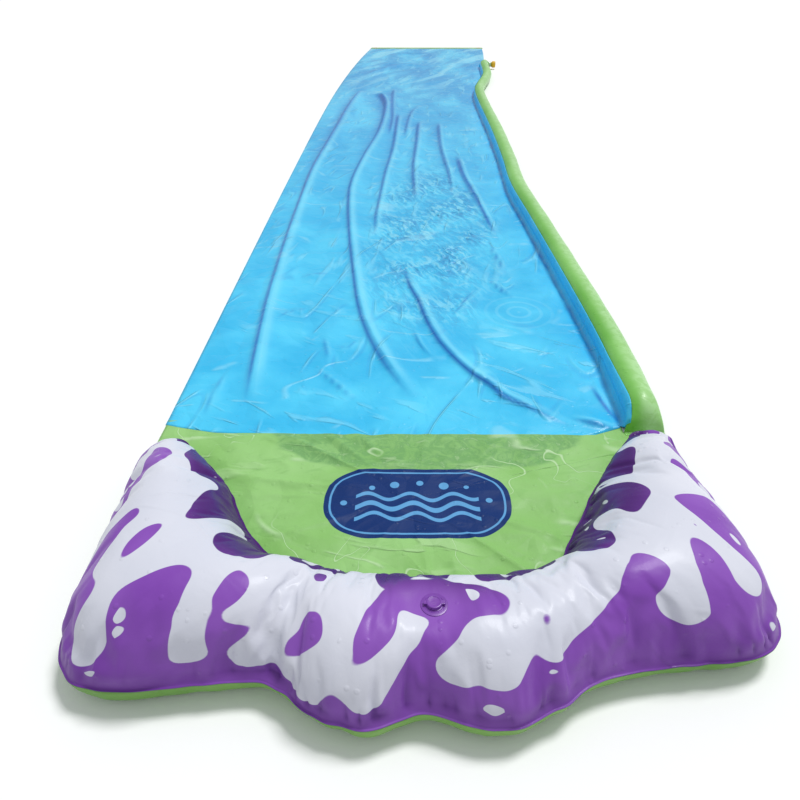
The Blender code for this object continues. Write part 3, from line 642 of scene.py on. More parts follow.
def drift(side, y):  # smooth curve through the listed places, as the frame's own sheet has it
    s, d = np.array(side).T
    slopes = np.empty(len(s))
    slopes[1:-1] = (d[2:] - d[:-2]) / (s[2:] - s[:-2])
    slopes[0], slopes[-1] = (d[1] - d[0]) / (s[1] - s[0]), (d[-1] - d[-2]) / (s[-1] - s[-2])
    share = np.clip((np.asarray(y, float) - plan["nearY"]) / plan["length"], 0.0, 1.0)
    i = np.clip(np.searchsorted(s, share) - 1, 0, len(s) - 2)
    span = s[i + 1] - s[i]
    t = (share - s[i]) / span
    bend = (1 - t) * slopes[i] - t * slopes[i + 1] + (2 * t - 1) * (d[i + 1] - d[i]) / span
    return plan["width"] * (d[i] + (d[i + 1] - d[i]) * t + span * t * (1 - t) * bend)


def leftX(y):
    return plan["leftX"] + drift(plan["leftDrift"], y)


def tubeX(y):
    return plan["tubeX"] + drift(plan["tubeDrift"], y)


# Water tube

tube = {
    "radius": 0.0245,
    "start": -1.986,
    "length": 3.53,
    "taper": 0.045,
    "endHeight": 0.07,
    "endSpread": 1.25,
    "weldStrip": 0.008,
    "weldHeight": 0.035,
    "wall": 0.0005,
    "rows": 460,
    "sides": 40,
    "dent": 0.0011,
    "flatAtInlet": (0.016, 0.030),
    "noise": {"ripple": (0.011, 3), "rippleSwell": (0.09, 4), "dents": (0.055, 5), "shade": (0.05, 8)},
}


def tubeShare(y):  # share of the full height: both ends are pressed towards a flat weld
    inward = np.minimum(y - tube["start"], tube["start"] + tube["length"] - y) / tube["taper"]
    t = np.clip(inward, 0.0, 1.0)
    share = tube["endHeight"] + (1 - tube["endHeight"]) * np.sqrt(1 - (1 - t) ** 2)
    return np.where(inward < -0.01, tube["weldHeight"], share)


def tubeSpread(share):  # where it is pressed flat it grows wider
    return tube["endSpread"] - (tube["endSpread"] - 1) * share


def tubeRows():
    strip = -tube["weldStrip"] / tube["taper"] * np.array([1.0, 0.55, 0.10])
    taper = tube["taper"] * np.array([*strip, 0.0, 0.02, 0.05, 0.1, 0.17, 0.26, 0.38, 0.55, 0.76])
    end = tube["start"] + tube["length"]
    middle = np.linspace(tube["start"] + tube["taper"], end - tube["taper"], tube["rows"])
    return np.concatenate([tube["start"] + taper, middle, (end - taper)[::-1]])


def inletAxis():  # where the hose inlet's axis crosses the tube's outer wall
    low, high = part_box("hose_washer")
    y = (low.y + high.y) / 2
    return Vector((float(tubeX(y)) + tube["radius"], y, (low.z + high.z) / 2))


def makeTube(material):
    noise, radius = tube["noise"], tube["radius"]
    y = tubeRows()[:, None]
    turn = np.linspace(0.0, 2 * np.pi, tube["sides"], endpoint=False)[None, :] - np.pi / 2
    share = tubeShare(y)
    along = y + 0 * turn
    around = np.abs(turn) * radius + 0 * y
    bend = np.abs(np.gradient(np.gradient(tubeX(y[:, 0]), y[:, 0]), y[:, 0]))[:, None]
    ripple = softNoise(along, around, *noise["ripple"]) * softNoise(along, around * 0.4, *noise["rippleSwell"])
    dents = 0.5 * (1 - softNoise(along, around, *noise["dents"]))
    dents = dents + 0.6 * np.abs(ripple) * (0.6 + np.minimum(bend, 1.5))
    axis = inletAxis()
    fromInlet = np.hypot(along - axis.y, radius * (1 + share * np.sin(turn)) - axis.z)
    fromInlet = fromInlet + 0.05 * (np.cos(turn) < 0)
    inward = tube["dent"] * dents * smooth(0.3, 1.0, share) * smooth(*tube["flatAtInlet"], fromInlet)
    x = tubeX(y) + (radius * tubeSpread(share) - inward) * np.cos(turn)
    z = radius * share + (radius * share - inward) * np.sin(turn)
    points = np.stack([x, along, z], axis=-1)
    rows, columns = points.shape[:2]
    faces = gridFaces(rows, columns, around=True, turned=True)
    faces += [list(range(columns)), list(range(rows * columns - 1, (rows - 1) * columns - 1, -1))]
    piece = meshPiece("waterTube", points, faces)
    # how much painted light the tube's upper outer side takes, stored as outer
    shade = smooth(-0.15, 0.75, np.cos(turn - 0.5)) * (0.8 + 0.2 * softNoise(along, around, *noise["shade"]))
    store(piece, "outer", shade)
    thicken(piece, tube["wall"])
    dress(piece, material, "film_green", "mat", "water_tube")
    print("water tube made")
    return piece


# Lane film. Each fold is its height, steep width and gentle width in millimetres, and its line in metres.

lane = {
    "film": 0.0004,
    "gap": 0.0003,
    "rowBands": ((-1.80, 38), (-1.30, 58), (0.0, 94), (1.46, 62), (1.68, 26), (2.4, 28)),
    "columns": 138,
    "flankSteps": 14,
    "liftShares": (0.35, 0.7, 0.93),
    "foot": 0.006,
    "flankLow": 205.0,
    "flankTop": 152.0,
    "nearWrap": 12.0,
    "flankNearY": -1.983,
    "flankFreeY": (1.553, 1.64),
    "farFrom": (-1.3, 0.4),
    "farGrowth": (0.20, 0.9),
    "foldEnd": (0.16, 0.4),
    "lap": 0.016,
    "lapRamp": 0.020,
    "lapRise": 0.0006,
    "swell": 0.0009,
    "crinkle": 0.0034,
    "headSwell": 0.0070,
    "gather": 0.0022,
    "offFloor": 0.00005,
    "noise": {
        "busy": (0.06, 21), "crinkle": (0.018, 11), "swell": (0.13, 12), "smallSwell": (0.045, 13),
        "silk": (0.10, 14), "gather": (0.007, 15), "foot": (0.012, 16), "flank": (0.010, 17),
    },
    "guideShares": (0.0, 0.13, 0.38, 0.66, 0.88, 1.0),
    "guides": (
        ((-0.235, -1.99), (-0.26, -1.68), (-0.27, -1.52), (-0.28, -1.21), (-0.285, -0.9), (-0.285, -0.6),
         (-0.27, -0.3), (-0.255, -0.01), (-0.245, 0.24), (-0.23, 0.49), (-0.2, 0.79), (-0.13, 1.4), (-0.07, 2.41)),
        ((0.06, -1.99), (0.035, -1.915), (-0.02, -1.8), (-0.055, -1.695), (-0.08, -1.58), (-0.1, -1.425),
         (-0.125, -1.2), (-0.145, -0.96), (-0.15, -0.75), (-0.125, -0.44), (-0.09, -0.13), (-0.075, 0.2),
         (-0.08, 0.46), (-0.08, 0.7), (-0.03, 1.4), (0.08, 2.41)),
        ((0.29, -1.99), (0.255, -1.965), (0.2, -1.92), (0.15, -1.86), (0.12, -1.82), (0.08, -1.735),
         (0.055, -1.645), (0.04, -1.56), (0.02, -1.47), (0.01, -1.35), (0.03, -1.1), (0.045, -0.94), (0.04, -0.57),
         (0.055, -0.27), (0.07, 0.12), (0.08, 0.43), (0.13, 1.0), (0.2, 1.6), (0.3, 2.41)),
        ((0.335, -1.99), (0.31, -1.92), (0.265, -1.75), (0.24, -1.545), (0.235, -1.425), (0.245, -1.23),
         (0.23, -1.1), (0.215, -0.9), (0.195, -0.68), (0.19, -0.41), (0.2, 0.0), (0.22, 0.5), (0.27, 1.0),
         (0.36, 1.6), (0.46, 2.41)),
    ),
    "nearEdge": (
        (-0.355, -1.972), (-0.331, -1.979), (-0.277, -1.991), (-0.207, -1.995), (-0.058, -2.001),
        (0.031, -2.003), (0.149, -2.006), (0.249, -2.005), (0.276, -1.999), (0.300, -1.990), (0.334, -1.976),
        (0.376, -1.972),
    ),
    "flat": (0.76, 4.395),
    "busyPlace": (0.08, -1.15, 0.21, 0.74),
    "rings": (0.235, -1.60, 0.022),
    "folds": (
        ((11, 9, 28), ((-0.2, 0.79), (-0.23, 0.49), (-0.245, 0.24), (-0.255, -0.01), (-0.27, -0.3), (-0.285, -0.6),
                       (-0.285, -0.9), (-0.28, -1.21), (-0.27, -1.52), (-0.26, -1.68), (-0.24, -1.94))),
        ((11, 8, 26), ((-0.185, 0.635), (-0.12, 0.655), (-0.08, 0.46), (-0.075, 0.2), (-0.09, -0.13),
                       (-0.125, -0.44), (-0.15, -0.75), (-0.145, -0.96), (-0.125, -1.2), (-0.1, -1.425),
                       (-0.08, -1.58), (-0.055, -1.695), (-0.02, -1.8), (0.035, -1.915))),
        ((7, 7, 16), ((-0.045, 0.85), (-0.045, 0.45), (-0.04, 0.1), (-0.05, -0.2))),
        ((7, 8, 16), ((0.26, -1.945), (0.295, -1.965), (0.325, -1.975), (0.355, -1.98))),
        ((8, 8, 16), ((0.32, -1.85), (0.325, -1.9), (0.335, -1.945), (0.35, -1.97))),
        ((8, 7, 20), ((-0.015, 0.25), (-0.02, 0.05), (-0.03, -0.34), (-0.05, -0.66), (-0.06, -0.92),
                      (-0.065, -1.07), (-0.06, -1.21))),
        ((6, 7, 15), ((0.08, 0.43), (0.045, 0.27), (0.025, 0.07), (0.01, -0.23))),
        ((8, 7, 18), ((0.07, 0.12), (0.055, -0.27), (0.04, -0.57), (0.04, -0.82), (0.045, -0.94))),
        ((7, 6, 16), ((0.15, 0.1), (0.145, -0.04), (0.14, -0.35), (0.15, -0.65), (0.15, -0.88))),
        ((9, 7, 20), ((0.19, -0.41), (0.195, -0.68), (0.215, -0.9), (0.23, -1.1), (0.245, -1.23))),
        ((5, 6, 12), ((0.215, -1.235), (0.225, -1.335), (0.235, -1.425))),
        ((5, 5, 11), ((0.19, -1.435), (0.21, -1.495), (0.24, -1.545))),
        ((9, 7, 22), ((0.01, -1.35), (0.02, -1.47), (0.04, -1.56), (0.055, -1.645), (0.08, -1.735), (0.12, -1.82),
                      (0.15, -1.86), (0.17, -1.895), (0.2, -1.92), (0.225, -1.94), (0.255, -1.965),
                      (0.29, -1.985))),
        ((4, 5, 9), ((0.025, -1.665), (0.04, -1.735), (0.065, -1.78))),
        ((4, 5, 10), ((-0.15, -1.8), (-0.12, -1.84), (-0.085, -1.885), (-0.06, -1.915))),
        ((4, 5, 9), ((-0.145, -1.695), (-0.13, -1.75), (-0.125, -1.805))),
        ((4, 5, 10), ((-0.295, -1.82), (-0.3, -1.905), (-0.3, -1.955))),
        ((6, 5, 14), ((0.18, -1.48), (0.145, -1.535), (0.115, -1.6), (0.095, -1.635))),
        ((5, 14, 20), ((-0.22, 1.19), (-0.105, 1.445), (0.015, 1.615), (0.175, 1.56))),
        ((4, 14, 20), ((-0.205, 1.445), (-0.09, 1.675), (0.055, 1.735))),
        ((5, 14, 18), ((0.22, 2.06), (0.05, 2.1), (-0.12, 2.02))),
        ((3, 5, 9), ((-0.225, -1.45), (-0.19, -1.425), (-0.15, -1.425))),
        ((3, 5, 9), ((-0.24, -1.65), (-0.22, -1.61), (-0.185, -1.59), (-0.175, -1.57))),
        ((3, 5, 9), ((-0.12, -1.735), (-0.095, -1.745), (-0.075, -1.71))),
    ),
}


def foldHeight(x, y, shape, line):  # the fold's height, the painted shade beside its steep side and the painted highlight beside its gentle side
    high, steep, gentle = (s / 1000.0 for s in shape)
    path = curveThrough(line, 12)
    along = stepsAlong(path)
    reach = 4 * gentle
    low, top = path.min(0) - reach, path.max(0) + reach
    near = (x > low[0]) & (x < top[0]) & (y > low[1]) & (y < top[1])
    px, py = x[near], y[near]
    best = np.full(px.shape, 1e9)
    side = np.zeros(px.shape)
    place = np.zeros(px.shape)
    for a, b, s in zip(path, path[1:], along):
        run = b - a
        size = np.linalg.norm(run)
        t = np.clip(((px - a[0]) * run[0] + (py - a[1]) * run[1]) / size**2, 0.0, 1.0)
        dx, dy = px - a[0] - t * run[0], py - a[1] - t * run[1]
        far = np.hypot(dx, dy)
        closer = far < best
        best = np.where(closer, far, best)
        side = np.where(closer, run[0] * dy - run[1] * dx, side)
        place = np.where(closer, s + t * size, place)
    right = side > 0 if path[-1][1] < path[0][1] else side < 0
    far = smooth(*lane["farFrom"], py)
    wider, higher = (1 + growth * far for growth in lane["farGrowth"])
    longest, share = lane["foldEnd"]
    run = smooth(0.0, 1.0, np.minimum(place, along[-1] - place) / min(longest, along[-1] * share))
    width = np.where(right, gentle, steep) * wider
    signed = np.where(right, best, -best) / wider
    # painted shade: a wide halo beyond the steep side of far folds, and a dark line on that side, which also
    # stands for the film lying doubled there
    halo = 0.4 * far * np.exp(-(((signed + 2.0 * steep) / (1.8 * steep)) ** 2))
    dark = np.exp(-(((signed + 0.60 * steep) / (0.45 * steep * (1 + 2.2 * far))) ** 2))
    made = np.zeros((3, *x.shape))
    made[0][near] = high * higher * np.exp(-((best / width) ** 1.5)) * run
    made[1][near] = np.maximum(dark, halo) * run
    # painted highlight along the gentle side
    made[2][near] = np.exp(-(((signed - 0.32 * gentle) / (0.30 * gentle)) ** 2)) * run
    return made


def allFolds(x, y):
    made = np.zeros((3, *x.shape))
    for shape, line in lane["folds"]:
        high, dark, light = foldHeight(x, y, shape, line)
        share = min(shape[0] / 9.0, 1.0)
        made[0] = np.maximum(made[0], high) + 0.4 * np.minimum(made[0], high)
        made[1] = np.maximum(made[1], dark * share)
        made[2] = np.maximum(made[2], light * share)
    return made


def laneFlank(y, flankY, footX):  # the margin: it leaves the ground, hugs the tube, and lies flat past the far end
    height = tubeShare(flankY)
    film = lane["gap"] + lane["film"]
    low, top = lane["flankLow"], lane["flankTop"] - lane["nearWrap"] * smooth(-1.80, -1.975, y)
    up = np.array(lane["liftShares"])
    turn = np.radians(low + (top[:, None] - low) * np.linspace(0.0, 1.0, lane["flankSteps"] - len(up)))
    hugX = tubeX(flankY)[:, None] + (tube["radius"] * tubeSpread(height) + film)[:, None] * np.cos(turn)
    hugZ = (tube["radius"] * height)[:, None] * (1 + np.sin(turn)) + lane["gap"] * np.sin(turn)
    hugX[:, 0] = hugX[:, :1].min(axis=1)
    riseX = footX[:, None] + (hugX[:, :1] - footX[:, None]) * up
    flankX = np.concatenate([riseX, hugX], axis=1)
    flankZ = np.concatenate([hugZ[:, :1] * up**2.2, hugZ], axis=1)
    stepX = np.diff(np.concatenate([footX[:, None], flankX], axis=1), axis=1)
    stepZ = np.diff(np.concatenate([np.zeros((len(y), 1)), flankZ], axis=1), axis=1)
    laid = np.cumsum(np.hypot(stepX, stepZ), axis=1)[np.argmin(np.abs(y - 1.0))]
    opened = smooth(*lane["flankFreeY"], y)[:, None]
    flankX = flankX * (1 - opened) + (footX[:, None] + laid) * opened
    return flankX, flankZ * (1 - opened), opened


def laneRise(x, y, toFoot, folds, patch):  # folds, crinkles, swells, and the gathers beside the tube
    noise = lane["noise"]
    crinkle = (1 - np.abs(softNoise(x, y * 0.7, *noise["crinkle"]))) ** 3 * patch
    swell = 0.5 * (1 + softNoise(x, y, *noise["swell"])) + 0.35 * (1 + softNoise(x, y * 0.6, *noise["smallSwell"]))
    silkAcross, silkAlong = x * 0.89 - y * 0.45, x * 0.45 + y * 0.89
    headSwell = smooth(0.3, 1.5, y) * (1 - np.abs(softNoise(silkAcross, silkAlong * 0.25, *noise["silk"]))) ** 2
    slope = y + 0.9 * toFoot
    gather = (1 - np.abs(softNoise(slope * 0.12, toFoot, *noise["gather"]))) ** 2
    gather = gather * smooth(0.045, 0.0, toFoot) * smooth(1.5, 1.2, y) * smooth(-1.97, -1.85, y)
    rise = folds * smooth(0.0, 0.04, toFoot) + lane["swell"] * swell + lane["crinkle"] * crinkle
    return rise + lane["headSwell"] * headSwell + lane["gather"] * gather


def makeLane(material):
    nearY, headY, noise = plan["nearY"], plan["sheetHeadY"], lane["noise"]
    ends, counts = zip(*lane["rowBands"])
    y = np.interp(np.arange(sum(counts) + 1), np.cumsum([0, *counts]), [nearY, *ends[:-1], headY])
    atEdge = smooth(nearY + 0.12, nearY, y)
    flankY = y + (lane["flankNearY"] - nearY) * atEdge
    clear = tube["radius"] + lane["gap"] + lane["film"]
    footX = tubeX(flankY) - clear * tubeSpread(tubeShare(flankY)) - lane["foot"]
    lines = [leftX(y)]
    for guide in lane["guides"]:
        guideX, guideY = curveThrough(guide, 8).T
        lines.append(np.interp(y, guideY, guideX))
    flat = np.linspace(0.0, 1.0, lane["columns"])
    x = np.stack([np.interp(flat, lane["guideShares"], row) for row in np.stack([*lines, footX], axis=1)])
    flankX, flankZ, opened = laneFlank(y, flankY, footX)
    allX = np.concatenate([x, flankX], axis=1)
    allZ = np.concatenate([np.zeros_like(x), flankZ], axis=1)
    edgeX, edgeY = np.array(lane["nearEdge"]).T
    drawn = np.interp(allX[0], edgeX, edgeY) - nearY
    drawnFlank = np.interp(range(lane["flankSteps"]), (0, 3), (edgeY[-1], lane["flankNearY"]))
    drawn[lane["columns"]:] = drawnFlank - nearY
    allY = y[:, None] + drawn[None, :] * atEdge[:, None]
    up = np.array(lane["liftShares"])
    leaving = np.clip(1 - np.concatenate([up * 1.6, np.ones(lane["flankSteps"] - len(up))]), 0, 1)
    onGround = np.concatenate([np.ones_like(x), leaving + np.zeros_like(flankX)], axis=1)
    onGround = np.maximum(onGround, opened)
    toFoot = np.abs(allX - footX[:, None])
    edge = smooth(0.0, 0.03, allX - leftX(y)[:, None])
    edge = edge * smooth(nearY, nearY + 0.05 - 0.03 * smooth(0.2, 0.3, allX), allY)
    edge = edge * smooth(headY, headY - 0.08, allY)
    folds, crease, ridge = allFolds(allX, allY)
    px, py, halfX, halfY = lane["busyPlace"]
    patch = smooth(1.0, 0.35, np.hypot((allX - px - 0.05 * (allY - py)) / halfX, (allY - py) / halfY))
    patch = patch * (0.35 + 0.65 * smooth(-0.5, 0.3, softNoise(allX, allY * 0.6, *noise["busy"])))
    lapEnd = nearY + lane["lap"]
    lapped = lane["lapRise"] * (1 - smooth(lapEnd, lapEnd + lane["lapRamp"], allY))
    rise = laneRise(allX, allY, toFoot, folds, patch) * edge * onGround
    allZ = allZ + rise + lapped * onGround + lane["offFloor"]
    points = np.stack([allX, allY, allZ], axis=-1)
    piece = meshPiece("laneFilm", points, gridFaces(*points.shape[:2]))
    # painted shade in the crease at the tube's foot, for the colour
    foot = smooth(0.008, 0.001, toFoot) * (0.6 + 0.4 * softNoise(allY * 0.4, toFoot, *noise["foot"]))
    store(piece, "foot", foot * (1 - opened) * 0.7)
    # painted light on the margin up the tube's side, for the colour
    store(piece, "flank", (1 - onGround) * (0.75 + 0.25 * softNoise(allY * 0.3, allZ, *noise["flank"])))
    store(piece, "busy", patch)
    # painted shade and painted highlight beside the folds, for the colour
    store(piece, "crease", np.clip(crease, 0.0, 1.0) * edge * onGround)
    store(piece, "ridge", np.clip(ridge, 0.0, 1.0) * edge * onGround)
    thicken(piece, lane["film"], 1.0)
    dress(piece, material, "lane_blue", "mat", "slide_sheet")
    print("lane film made")
    return piece


# Head hem, a doubled strip with two weld lines, and its eyelets

hem = {
    "film": 0.0005,
    "rows": 28,
    "columns": 260,
    "weldLines": (0.006, 0.052),
    "weldHalf": 0.0012,
    "wave": 0.0006,
    "waveNoise": (0.05, 31),
    "weldDepth": 0.0003,
    "punch": 0.0080,
    "flatAtEyelet": (0.014, 0.026),
    "eyeletY": 2.4295,
}


def headRightX(y):
    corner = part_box("head_hem")[1]
    return corner.x - (tubeX(corner.y) - tubeX(y))


def eyeletPlaces():
    boxes = {"leftEyelet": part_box("left_eyelet"), "rightEyelet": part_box("right_eyelet")}
    return {name: ((low.x + high.x) / 2, hem["eyeletY"]) for name, (low, high) in boxes.items()}


def makeHem(material):
    low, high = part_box("head_hem")
    y = np.linspace(low.y, high.y, hem["rows"])[:, None]
    share = np.linspace(0.0, 1.0, hem["columns"])[None, :]
    x = leftX(y) * (1 - share) + headRightX(y) * share
    across = y - low.y
    welds = sum(np.exp(-(((across - w) / hem["weldHalf"]) ** 2)) for w in hem["weldLines"])
    clear = np.minimum.reduce([np.hypot(x - px, y - py) for px, py in eyeletPlaces().values()])
    wave = 0.5 * (1 + softNoise(x, y + 0 * x, *hem["waveNoise"])) * smooth(0.0, 0.02, across)
    wave = wave * smooth(0.06, 0.045, across) * smooth(*hem["flatAtEyelet"], clear)
    lapped = smooth(plan["sheetHeadY"] + 0.008, plan["sheetHeadY"] + 0.001, y)
    sunk = hem["weldDepth"] * (1 - welds * smooth(0.014, 0.018, clear))
    z = 0.0004 + low.z * lapped + hem["wave"] * wave + sunk
    points = np.stack([x, y + 0 * x, z + 0 * x], axis=-1)
    piece = meshPiece("headHem", points, gridFaces(*points.shape[:2]))
    thicken(piece, hem["film"], 1.0)
    for px, py in eyeletPlaces().values():
        bpy.ops.object.select_all(action="DESELECT")
        bpy.ops.mesh.primitive_cylinder_add(vertices=40, radius=hem["punch"], depth=0.02, location=(px, py, 0.0))
        combine(piece, bpy.context.object, "DIFFERENCE")
    piece.data.shade_smooth()
    dress(piece, material, "hem_green", "mat", "head_hem")
    print("head hem made")
    return piece


# Bumper. Its ribs are as in the frame: outer x and reach, inner x and reach, and crest, in shares of its size.

bumper = {
    "width": 0.738,
    "centreX": 0.0265,
    "reach": 0.464,
    "height": 0.104,
    "seam": 0.030,
    "film": 0.0004,
    "seamGap": 0.0006,
    "lip": 0.0032,
    "lipWave": 0.0012,
    "seamWander": 0.0016,
    "roundness": 2.2,
    "fullness": 0.62,
    "ribSteps": 17,
    "across": 34,
    "creases": (
        (8.0, -0.2, 0.0055, 0.010, 0.80), (8.35, 0.3, 0.0024, 0.005, 0.35), (7.4, -0.5, 0.0022, 0.005, 0.30),
        (14.3, 0.4, 0.0034, 0.008, 0.55), (13.3, -0.3, 0.0028, 0.006, 0.40), (13.7, 0.2, 0.0022, 0.005, 0.30),
        (5.3, 0.3, 0.0026, 0.006, 0.26), (4.5, 0.2, 0.0020, 0.005, 0.20), (16.4, -0.3, 0.0026, 0.006, 0.25),
        (10.6, 0.2, 0.0018, 0.005, 0.30), (11.6, -0.3, 0.0022, 0.006, 0.35), (2.6, 0.3, 0.0022, 0.006, 0.40),
        (18.2, -0.2, 0.0022, 0.006, 0.45),
    ),
    "tipRows": 9,
    "leftTip": (-0.918, 0.126),
    "rightTip": (0.888, 0.078),
    "simFrames": 26,
    "simCap": 0.010,
    "lipPlace": -0.004,
    "puckerDepth": 0.0034,
    "swell": 0.0007,
    "noise": {
        "lip": (0.028, 41), "lipReach": (0.02, 42), "seam": (0.016, 43), "seamSwell": (0.041, 44),
        "pleats": (0.011, 51), "longPleats": (0.030, 52), "lull": (0.07, 53), "swell": (0.05, 54),
        "band": (0.06, 55), "base": (0.016, 61), "fullness": (0.07, 62),
    },
    "bulge": 0.0055,
    "floorInset": 0.020,
    "floor": 0.0012,
    "ribs": (
        (-0.983, 0.160, -0.860, 0.172, 0.430), (-1.005, 0.260, -0.785, 0.222, 0.640),
        (-0.998, 0.430, -0.668, 0.338, 0.835), (-0.988, 0.625, -0.590, 0.450, 0.955),
        (-0.969, 0.821, -0.534, 0.522, 1.000), (-0.909, 0.899, -0.480, 0.575, 1.000),
        (-0.782, 0.922, -0.412, 0.608, 0.971), (-0.573, 0.909, -0.335, 0.628, 0.913),
        (-0.400, 0.903, -0.263, 0.640, 0.808), (-0.272, 0.972, -0.188, 0.652, 0.885),
        (-0.142, 1.000, -0.100, 0.658, 0.885), (0.001, 0.966, 0.000, 0.660, 0.885),
        (0.188, 1.000, 0.118, 0.660, 0.885), (0.324, 0.959, 0.217, 0.657, 0.885),
        (0.470, 0.888, 0.322, 0.642, 0.885), (0.687, 0.860, 0.412, 0.603, 0.942),
        (0.877, 0.841, 0.468, 0.537, 0.990), (0.974, 0.772, 0.522, 0.462, 0.990),
        (0.978, 0.582, 0.600, 0.355, 0.923), (0.954, 0.323, 0.692, 0.238, 0.779),
        (0.956, 0.118, 0.812, 0.110, 0.430),
    ),
}
valve = {"centre": (0.036, -2.365927, 0.0903795), "flat": 0.016, "blend": 0.045, "hole": 0.0075}


def bumperPlan(xShare, reachShare):
    x = bumper["centreX"] + xShare * bumper["width"] / 2
    return np.stack([x, plan["nearY"] - reachShare * bumper["reach"]], -1)


def bumperRows():  # outer point, inner point and crest height of each rib, with rounded ends added at both tips
    ribs = curveThrough(bumper["ribs"], bumper["ribSteps"])
    outer, inner = bumperPlan(ribs[:, 0], ribs[:, 1]), bumperPlan(ribs[:, 2], ribs[:, 3])
    crest = ribs[:, 4] * bumper["height"]
    turn = np.linspace(0.0, np.pi / 2, bumper["tipRows"] + 1)[1:-1]
    ends = []
    for tip, k in ((bumper["leftTip"], 0), (bumper["rightTip"], -1)):
        point = bumperPlan(*tip)
        middle, half = (outer[k] + inner[k]) / 2, (outer[k] - inner[k]) / 2
        centre = middle + (point - middle) * np.sin(turn)[:, None]
        width = half * np.cos(turn)[:, None]
        rise = bumper["seam"] + (crest[k] - bumper["seam"]) * np.cos(turn) ** 0.8
        ends.append((point, centre + width, centre - width, rise))
    (leftTip, lo, li, lz), (rightTip, ro, ri, rz) = ends
    outer = np.concatenate([lo[::-1], outer, ro])
    inner = np.concatenate([li[::-1], inner, ri])
    out = (outer - inner) / np.maximum(np.linalg.norm(outer - inner, axis=1, keepdims=True), 1e-6)
    noise = bumper["noise"]
    for side, sign in ((outer, 1.0), (inner, -1.0)):
        wander = softNoise(*side.T, *noise["seam"]) + 0.6 * softNoise(*side.T, *noise["seamSwell"])
        side += out * (sign * bumper["seamWander"] * wander)[:, None]
    return leftTip, rightTip, outer, inner, np.concatenate([lz[::-1], crest, rz])


def seamWave(x, y):
    return bumper["lipWave"] * softNoise(x, y, *bumper["noise"]["lip"])


def skinPiece(name, lipZ, u, surface):  # grid from weld to weld, a pole at each tip and a flat weld lip all round
    leftTip, rightTip, outer, inner, crest = bumperRows()
    points = surface(outer, inner, crest, u, lipZ)
    rows, columns = points.shape[:2]
    count = rows * columns
    tips = np.array([[*leftTip, lipZ], [*rightTip, lipZ]])
    faces = gridFaces(rows, columns, turned=True)
    first, last = np.arange(columns), np.arange(columns) + (rows - 1) * columns
    faces += [[count, b, a] for a, b in zip(first, first[1:])]
    faces += [[count + 1, a, b] for a, b in zip(last, last[1:])]
    starts = np.arange(rows) * columns
    edge = np.array([count, *starts, count + 1, *(starts + columns - 1)[::-1]])
    allPoints = np.vstack([points.reshape(-1, 3), tips])
    ring = allPoints[edge]
    along = np.roll(ring, -1, 0)[:, :2] - np.roll(ring, 1, 0)[:, :2]
    along /= np.linalg.norm(along, axis=1, keepdims=True)
    out = np.stack([along[:, 1], -along[:, 0]], -1)
    lips = []
    for k, share in enumerate((0.5, 1.0)):
        wander = 1 + 0.12 * softNoise(ring[:, 0], ring[:, 1], *bumper["noise"]["lipReach"])
        lip = ring.copy()
        lip[:, :2] += out * (bumper["lip"] * share * wander)[:, None]
        lip[:, 2] = lipZ + seamWave(lip[:, 0], lip[:, 1]) * share
        lips.append(lip)
        onward = np.arange(len(edge)) + count + 2 + len(edge) * k
        faces += np.stack([onward, np.roll(onward, -1), np.roll(edge, -1), edge], -1).tolist()
        edge = onward
    piece = meshPiece(name, np.vstack([allPoints, *lips]), [[int(i) for i in f] for f in faces])
    return piece, rows, columns


def crestSurface(outer, inner, crest, u, lipZ):
    share = np.maximum(1 - np.abs(2 * u - 1) ** bumper["roundness"], 0.0) ** bumper["fullness"]
    place = outer[:, None, :] * (1 - u[None, :, None]) + inner[:, None, :] * u[None, :, None]
    z = lipZ + (crest[:, None] - lipZ) * share[None, :]
    return np.concatenate([place, z[..., None]], axis=-1)


def baseSurface(outer, inner, _, u, lipZ):  # bulges out below the weld, then lies on the ground
    across = inner - outer
    width = np.linalg.norm(across, axis=1)[:, None]
    across = across / width
    edge = np.minimum(u, 1 - u) / 0.22
    turn = np.clip(edge, 0.0, 1.0) * np.pi
    sign = np.where(u < 0.5, 1.0, -1.0)[None, :]
    fullness = 0.62 + 0.38 * softNoise(*outer.T, *bumper["noise"]["fullness"])[:, None]
    bulge = bumper["bulge"] * fullness * np.sin(turn * 0.98)
    settle = bumper["floorInset"] * np.clip(edge, 0.0, 1.0) ** 2.5
    shift = np.minimum(settle - bulge, width * 0.45) * sign
    inside = np.clip((np.minimum(u, 1 - u) - 0.22) / 0.28, 0.0, 1.0)
    middle = (width / 2 - bumper["floorInset"]) * inside[None, :] * sign
    start = np.where(u < 0.5, 0.0, 1.0)[None, :] * width
    place = outer[:, None, :] + across[:, None, :] * (start + shift + middle)[..., None]
    drop = (1 - np.cos(turn)) / 2
    z = lipZ + (bumper["floor"] - lipZ) * drop[None, :] + 0 * width
    return np.concatenate([place, z[..., None]], axis=-1)


filmCloth = {
    "quality": 5,
    "mass": 0.25,
    "tension_stiffness": 25,
    "compression_stiffness": 25,
    "shear_stiffness": 12,
    "bending_stiffness": 0.12,
    "air_damping": 4.0,
    "vertex_group_mass": "weld",
    "shrink_min": -0.045,
    "use_pressure": True,
    "uniform_pressure_force": 3.0,
}


